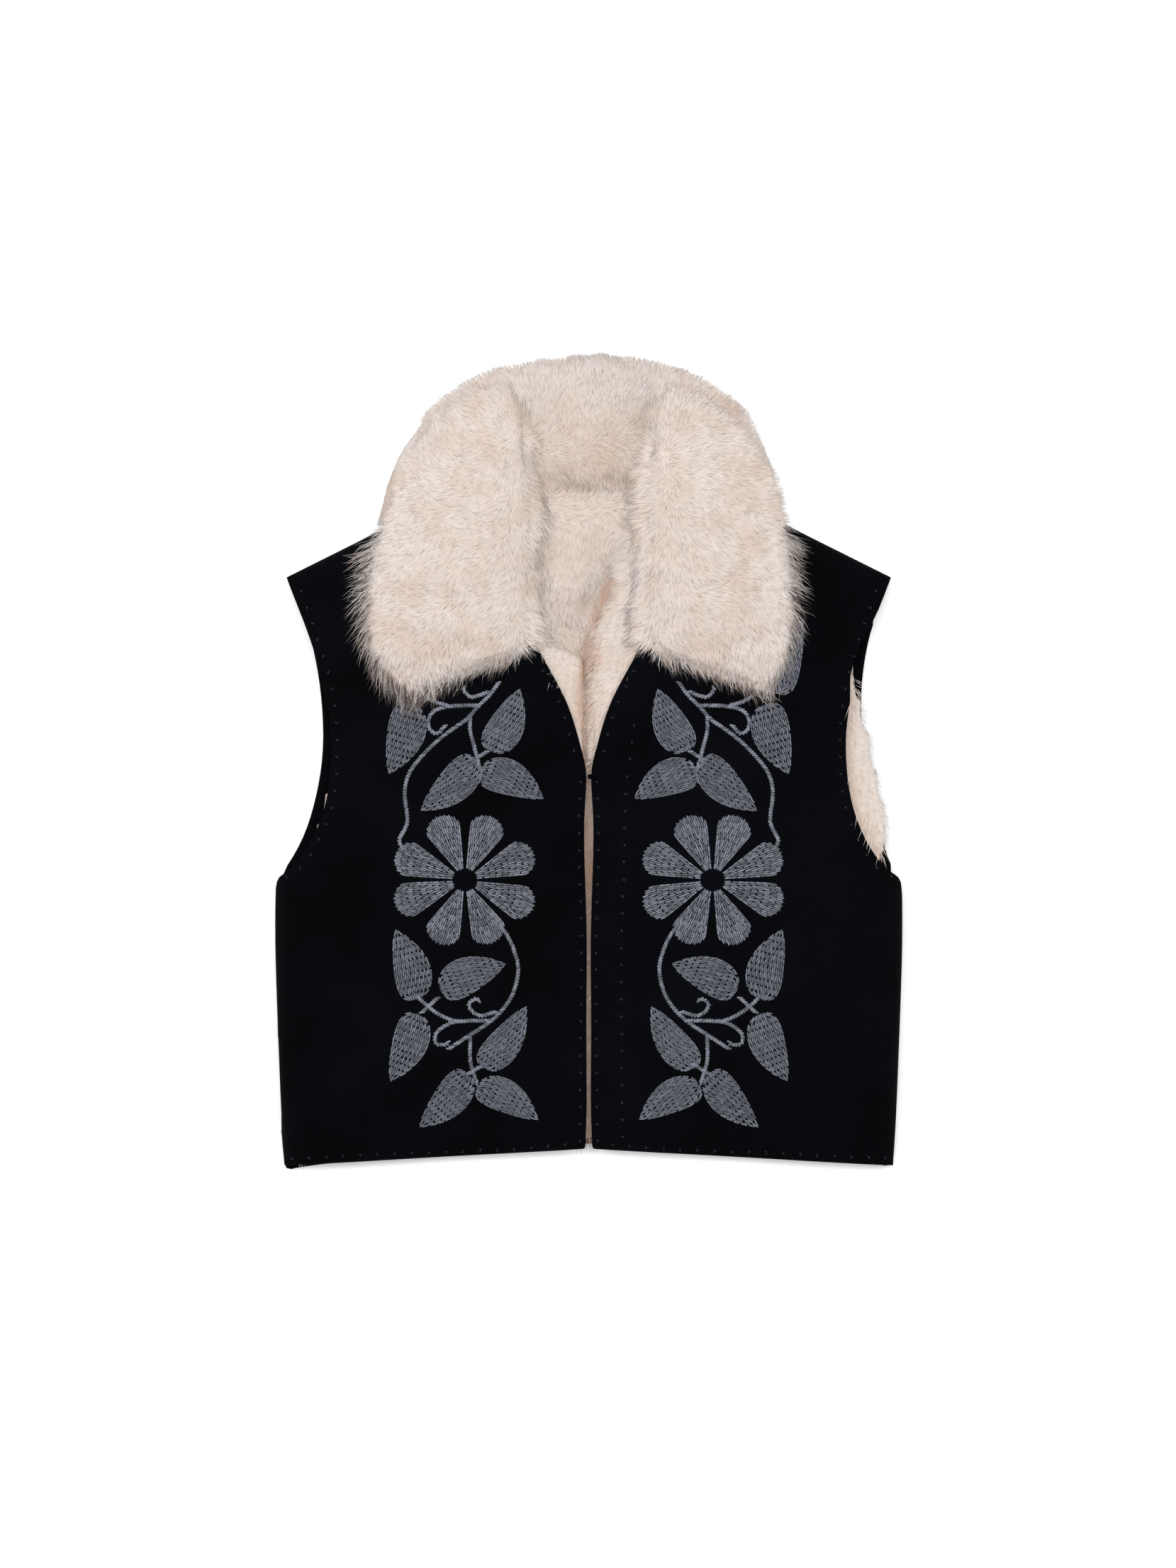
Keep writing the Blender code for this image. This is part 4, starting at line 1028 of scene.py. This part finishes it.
# One stitch of length, width and height 1: a spindle whose ends dip into the cloth.
def makeStitchShape():
    points = [(-0.5, 0, -0.25), (0.5, 0, -0.25)]
    for x, size in ((-0.3, 0.86), (0.3, 0.86)):
        points += [(x, 0.5 * size, 0.05), (x, 0, 0.62 * size), (x, -0.5 * size, 0.05), (x, 0, -0.4)]
    faces = []
    for k in range(4):
        j = (k + 1) % 4
        faces += [(0, 2 + k, 2 + j), (2 + k, 6 + k, 6 + j, 2 + j), (1, 6 + j, 6 + k)]
    mesh = bpy.data.meshes.new("stitch")
    mesh.from_pydata(points, [], faces)
    fixer = bmesh.new()
    fixer.from_mesh(mesh)
    bmesh.ops.recalc_face_normals(fixer, faces=fixer.faces)
    fixer.to_mesh(mesh)
    fixer.free()
    mesh.shade_smooth()
    return bpy.data.objects.new("stitch", mesh)


# Sews a stitch at each point. Turn, long, wide and high come from the points; Fullness scales every stitch.
def makeStitchTree(shape):
    tree, given = startGroup("sewStitches", {"Points": "Geometry", "Fullness": 1.0, "Thread": "Material"},
                             "Stitches")
    read = {}
    for name in ("turn", "long", "wide", "high"):
        read[name] = addNode(tree, "GeometryNodeInputNamedAttribute", {
            "Name": name}, data_type="FLOAT").outputs["Attribute"]
    tilt = addNode(tree, "GeometryNodeInputNamedAttribute", {"Name": "up"}, data_type="FLOAT_VECTOR")
    spin = addNode(tree, "ShaderNodeCombineXYZ", {"Z": read["turn"]})
    facing = addNode(tree, "FunctionNodeEulerToRotation", {0: spin.outputs[0]})
    laid = addNode(tree, "FunctionNodeAlignRotationToVector", {
        "Rotation": facing.outputs[0], "Vector": tilt.outputs["Attribute"]}, axis="Z")
    wide = addNode(tree, "ShaderNodeMath", {0: read["wide"], 1: given["Fullness"]}, operation="MULTIPLY")
    high = addNode(tree, "ShaderNodeMath", {0: read["high"], 1: given["Fullness"]}, operation="MULTIPLY")
    size = addNode(tree, "ShaderNodeCombineXYZ", {
        "X": read["long"], "Y": wide.outputs[0], "Z": high.outputs[0]})
    source = addNode(tree, "GeometryNodeObjectInfo", {"Object": shape, "As Instance": False})
    sewn = addNode(tree, "GeometryNodeInstanceOnPoints", {
        "Points": given["Points"], "Instance": source.outputs["Geometry"], "Rotation": laid.outputs[0],
        "Scale": size.outputs[0]})
    real = addNode(tree, "GeometryNodeRealizeInstances", {"Geometry": sewn.outputs[0]})
    threaded = addNode(tree, "GeometryNodeSetMaterial", {
        "Geometry": real.outputs[0], "Material": given["Thread"]})
    addNode(tree, "NodeGroupOutput", {"Stitches": threaded.outputs[0]})
    return tree


stitchShape = makeStitchShape()
stitchTree = makeStitchTree(stitchShape)


def surfaceFinder(piece):
    shape = bmesh.new()
    shape.from_mesh(piece.data)
    finder = BVHTree.FromBMesh(shape)
    shape.free()
    return finder


def sewStitches(name, stitches, finder, side, thread):
    points, ups, rows = [], [], []
    for x, y, turn, long, wide, high, tone in stitches:
        x, turn = (x, turn) if side > 0 else (-x, math.pi - turn)
        hit = finder.ray_cast(Vector((x * mm, y * mm, 0.2)), Vector((0, 0, -1)))
        if hit[0] is None:
            continue
        points.append(hit[0][:])
        ups.append(hit[1][:])
        rows.append((turn, long * mm, wide * mm, high * mm, tone))
    mesh = bpy.data.meshes.new(name)
    mesh.from_pydata(points, [], [])
    for label, values in zip(("turn", "long", "wide", "high", "tone"), zip(*rows)):
        writeAttribute(mesh, label, values)
    writeAttribute(mesh, "up", ups, "FLOAT_VECTOR")
    piece = addPiece(name, mesh)
    sew = piece.modifiers.new("sew", "NODES")
    sew.node_group = stitchTree
    setInputs(sew, {"Thread": thread})
    settle(piece)
    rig.ride(piece, "root")
    print(name, "stitches", len(points), "triangles", triangleCount(piece.data))
    return piece


def embroiderySide(side):
    dice = random.Random(21 if side > 0 else 34)
    made = flowerStitches(embroidery["flower"], embroidery["petalStitch"], dice)
    for leaf in embroidery["leaves"]:
        made += leafStitches(leaf, embroidery["leafStitch"], dice)
    for vine in embroidery["vines"]:
        made += vineStitches(vine, embroidery["vineStitch"], dice)
    return made


finders = {-1: surfaceFinder(frontLeft), 1: surfaceFinder(frontRight)}
embroideryLeft = sewStitches("embroideryLeft", embroiderySide(-1), finders[-1], -1, cottonFloss)
embroideryRight = sewStitches("embroideryRight", embroiderySide(1), finders[1], 1, cottonFloss)


# Pick stitches: small chevrons where the edges are caught down.

pickStitch = {"pitch": 13.6, "arm": 2.6, "width": 0.42, "height": 0.4, "spread": 34.0}
edgeRuns = {  # lines the pick stitches follow, in the half at +X
    "hem": [(236, -314), (150, -310), (66, -307), (8, -302)],
    "frontEdge": [(7, -300), (6.2, -205), (5.8, -140), (7.6, -80), (7.4, -40), (6.2, -8)],
    "neck": [(12, 10), (20, 40), (33, 68), (44, 88)],
    "armhole": [(241, -90), (226, -80), (213, -58), (203, -29), (200, 3), (200.5, 34), (206, 68), (217, 104),
                (229, 138)],
    "facing": [(27, -296), (26, -205), (26, -140), (28, -80), (30, -20), (36, 30)],
}


def pickRow(points, dice):
    made = []
    for place, way in walkCurve(points, pickStitch["pitch"]):
        heading = math.atan2(way.y, way.x)
        for sign in (-1, 1):
            turn = heading + sign * math.radians(pickStitch["spread"]) + dice.uniform(-0.2, 0.2)
            made.append((place.x + dice.uniform(-0.5, 0.5) + sign * 0.5 * math.cos(heading + 1.57),
                         place.y + dice.uniform(-0.5, 0.5) + sign * 0.5 * math.sin(heading + 1.57), turn,
                         pickStitch["arm"] * dice.uniform(0.7, 1.15), pickStitch["width"],
                         pickStitch["height"], dice.random()))
    return made


dice = random.Random(8)
pickLeft = [s for run in ("hem", "frontEdge", "neck", "armhole") for s in pickRow(edgeRuns[run], dice)]
pickRight = [s for run in edgeRuns for s in pickRow(edgeRuns[run], dice)]
pickStitchesLeft = sewStitches("pickStitchesLeft", pickLeft, finders[-1], -1, sewingThread)
pickStitchesRight = sewStitches("pickStitchesRight", pickRight, finders[1], 1, sewingThread)


# A short thread bar joins the two fronts where they meet, at the foot of the open neck.
threadBar = {"middle": (2.2, -10.5), "strands": 5, "pitch": 0.8, "length": 9.0, "width": 1.0, "height": 1.0}


def makeThreadBar():
    x, y = threadBar["middle"]
    strands = []
    for k in range(threadBar["strands"]):
        offset = (k - (threadBar["strands"] - 1) / 2) * threadBar["pitch"]
        strands.append((x, y + offset, 0.05 * offset, threadBar["length"], threadBar["width"],
                        threadBar["height"], 0.0))
    return sewStitches("threadBar", strands, finders[1], 1, woolFelt)


bar = makeThreadBar()
print("sewing ready")


# What is cloth, and how it was cut: flat width and length in metres, and area in square metres.

cutColumns = ("flat", "area", "held", "restsOn")
cuts = {name: dict(zip(cutColumns, row)) for name, row in {
    "frontLeft": ((0.272, 0.560), 0.1140, "laid", ["frontLiningLeft"]),
    "frontRight": ((0.272, 0.560), 0.1140, "laid", ["frontLiningRight"]),
    "backCloth": ((0.500, 0.553), 0.2400, "laid", []),
    "collarClothLeft": ((0.115, 0.235), 0.0184, "folded", ["frontLeft"]),
    "collarClothRight": ((0.105, 0.235), 0.0172, "folded", ["frontRight"]),
    "standCloth": ((0.312, 0.122), 0.0200, "laid", []),
    "collarLeft": ((0.135, 0.245), 0.0245, "folded", ["collarClothLeft"]),
    "collarRight": ((0.125, 0.245), 0.0225, "folded", ["collarClothRight"]),
    "collarStand": ((0.328, 0.135), 0.0270, "laid", ["standCloth"]),
    "backLining": ((0.490, 0.545), 0.2300, "laid", ["backCloth"]),
    "frontLiningLeft": ((0.236, 0.500), 0.0980, "laid", ["backLining"]),
    "frontLiningRight": ((0.240, 0.500), 0.1000, "laid", ["backLining"]),
}.items()}

woolPieces = (frontLeft, frontRight, backCloth, collarClothLeft, collarClothRight, standCloth)
carried = {"frontLeft": [embroideryLeft, pickStitchesLeft],
           "frontRight": [embroideryRight, pickStitchesRight, bar],
           **{hide.name: furs for hide, furs in furPieces}}
for piece in woolPieces + tuple(hide for hide, furs in furPieces):
    cut = cuts[piece.name]
    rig.sheet(piece, flat=cut["flat"], area=cut["area"], held=cut["held"], rests_on=cut["restsOn"],
             with_pieces=carried.get(piece.name, []))
    shell = sum(p.area for p in piece.data.polygons) / 2
    print(piece.name, "shell area", round(shell, 4), "cut", cut["area"], "triangles",
          triangleCount(piece.data))

for spare in (coatHair, guardHair, stitchShape):
    bpy.data.objects.remove(spare)


# Floor, light and camera.

# Each lamp has its place and size in metres and its power in watts.
studio = {"floorSize": 6.0, "floorDrop": 0.0002, "sky": 0.78, "lamps": (
    ("softboxLeft", (-1.7, 0.5, 1.9), 1.3, 34.0),
    ("softboxRight", (1.8, 0.2, 2.0), 1.3, 27.0),
    ("overhead", (0.0, 1.2, 2.6), 1.6, 18.0),
)}


def makeStage():
    material, tree = startMaterial("paleStudioFloor")
    shader = addNode(tree, "ShaderNodeBsdfPrincipled", {
        "Base Color": linearColour("#fafafa"), "Roughness": 0.9})
    addNode(tree, "ShaderNodeOutputMaterial", {"Surface": shader.outputs[0]})
    size = studio["floorSize"]
    mesh = bpy.data.meshes.new("floor")
    mesh.from_pydata([(-size, -size, 0), (size, -size, 0), (size, size, 0), (-size, size, 0)], [],
                     [(0, 1, 2, 3)])
    floor = addPiece("floor", mesh, material)
    floor.location.z = -studio["floorDrop"]
    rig.stage(floor)

    world = bpy.data.worlds.new("studioWorld")
    world.use_nodes = True
    world.node_tree.nodes["Background"].inputs["Color"].default_value = (1, 1, 1, 1)
    world.node_tree.nodes["Background"].inputs["Strength"].default_value = studio["sky"]
    scene.world = world

    for name, spot, size, power in studio["lamps"]:
        lamp = bpy.data.lights.new(name, "AREA")
        lamp.energy = power
        lamp.size = size
        holder = bpy.data.objects.new(name, lamp)
        holder.location = spot
        holder.rotation_mode = "QUATERNION"
        holder.rotation_quaternion = (-Vector(spot)).to_track_quat("-Z", "Y")
        scene.collection.objects.link(holder)


def makeCamera():
    view = {"centreX": -0.6, "centreY": -16.3, "planeZ": 22.0, "distance": 3200.0, "frameHeight": 1244.3}
    camera = bpy.data.cameras.new("camera")
    camera.sensor_width = 36.0
    camera.lens = 18.0 / (view["frameHeight"] / 2 / view["distance"])
    camera.dof.use_dof = False
    holder = bpy.data.objects.new("camera", camera)
    holder.location = (view["centreX"] * mm, view["centreY"] * mm, (view["planeZ"] + view["distance"]) * mm)
    scene.collection.objects.link(holder)
    scene.camera = holder


makeStage()
makeCamera()
scene.view_settings.view_transform = "Standard"
print("stage ready")

nowLow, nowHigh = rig.bounds()
with open("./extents.json", "w") as sizeFile:
    json.dump({"cad": [list(cadLow), list(cadHigh)], "visual": [list(nowLow), list(nowHigh)]}, sizeFile)
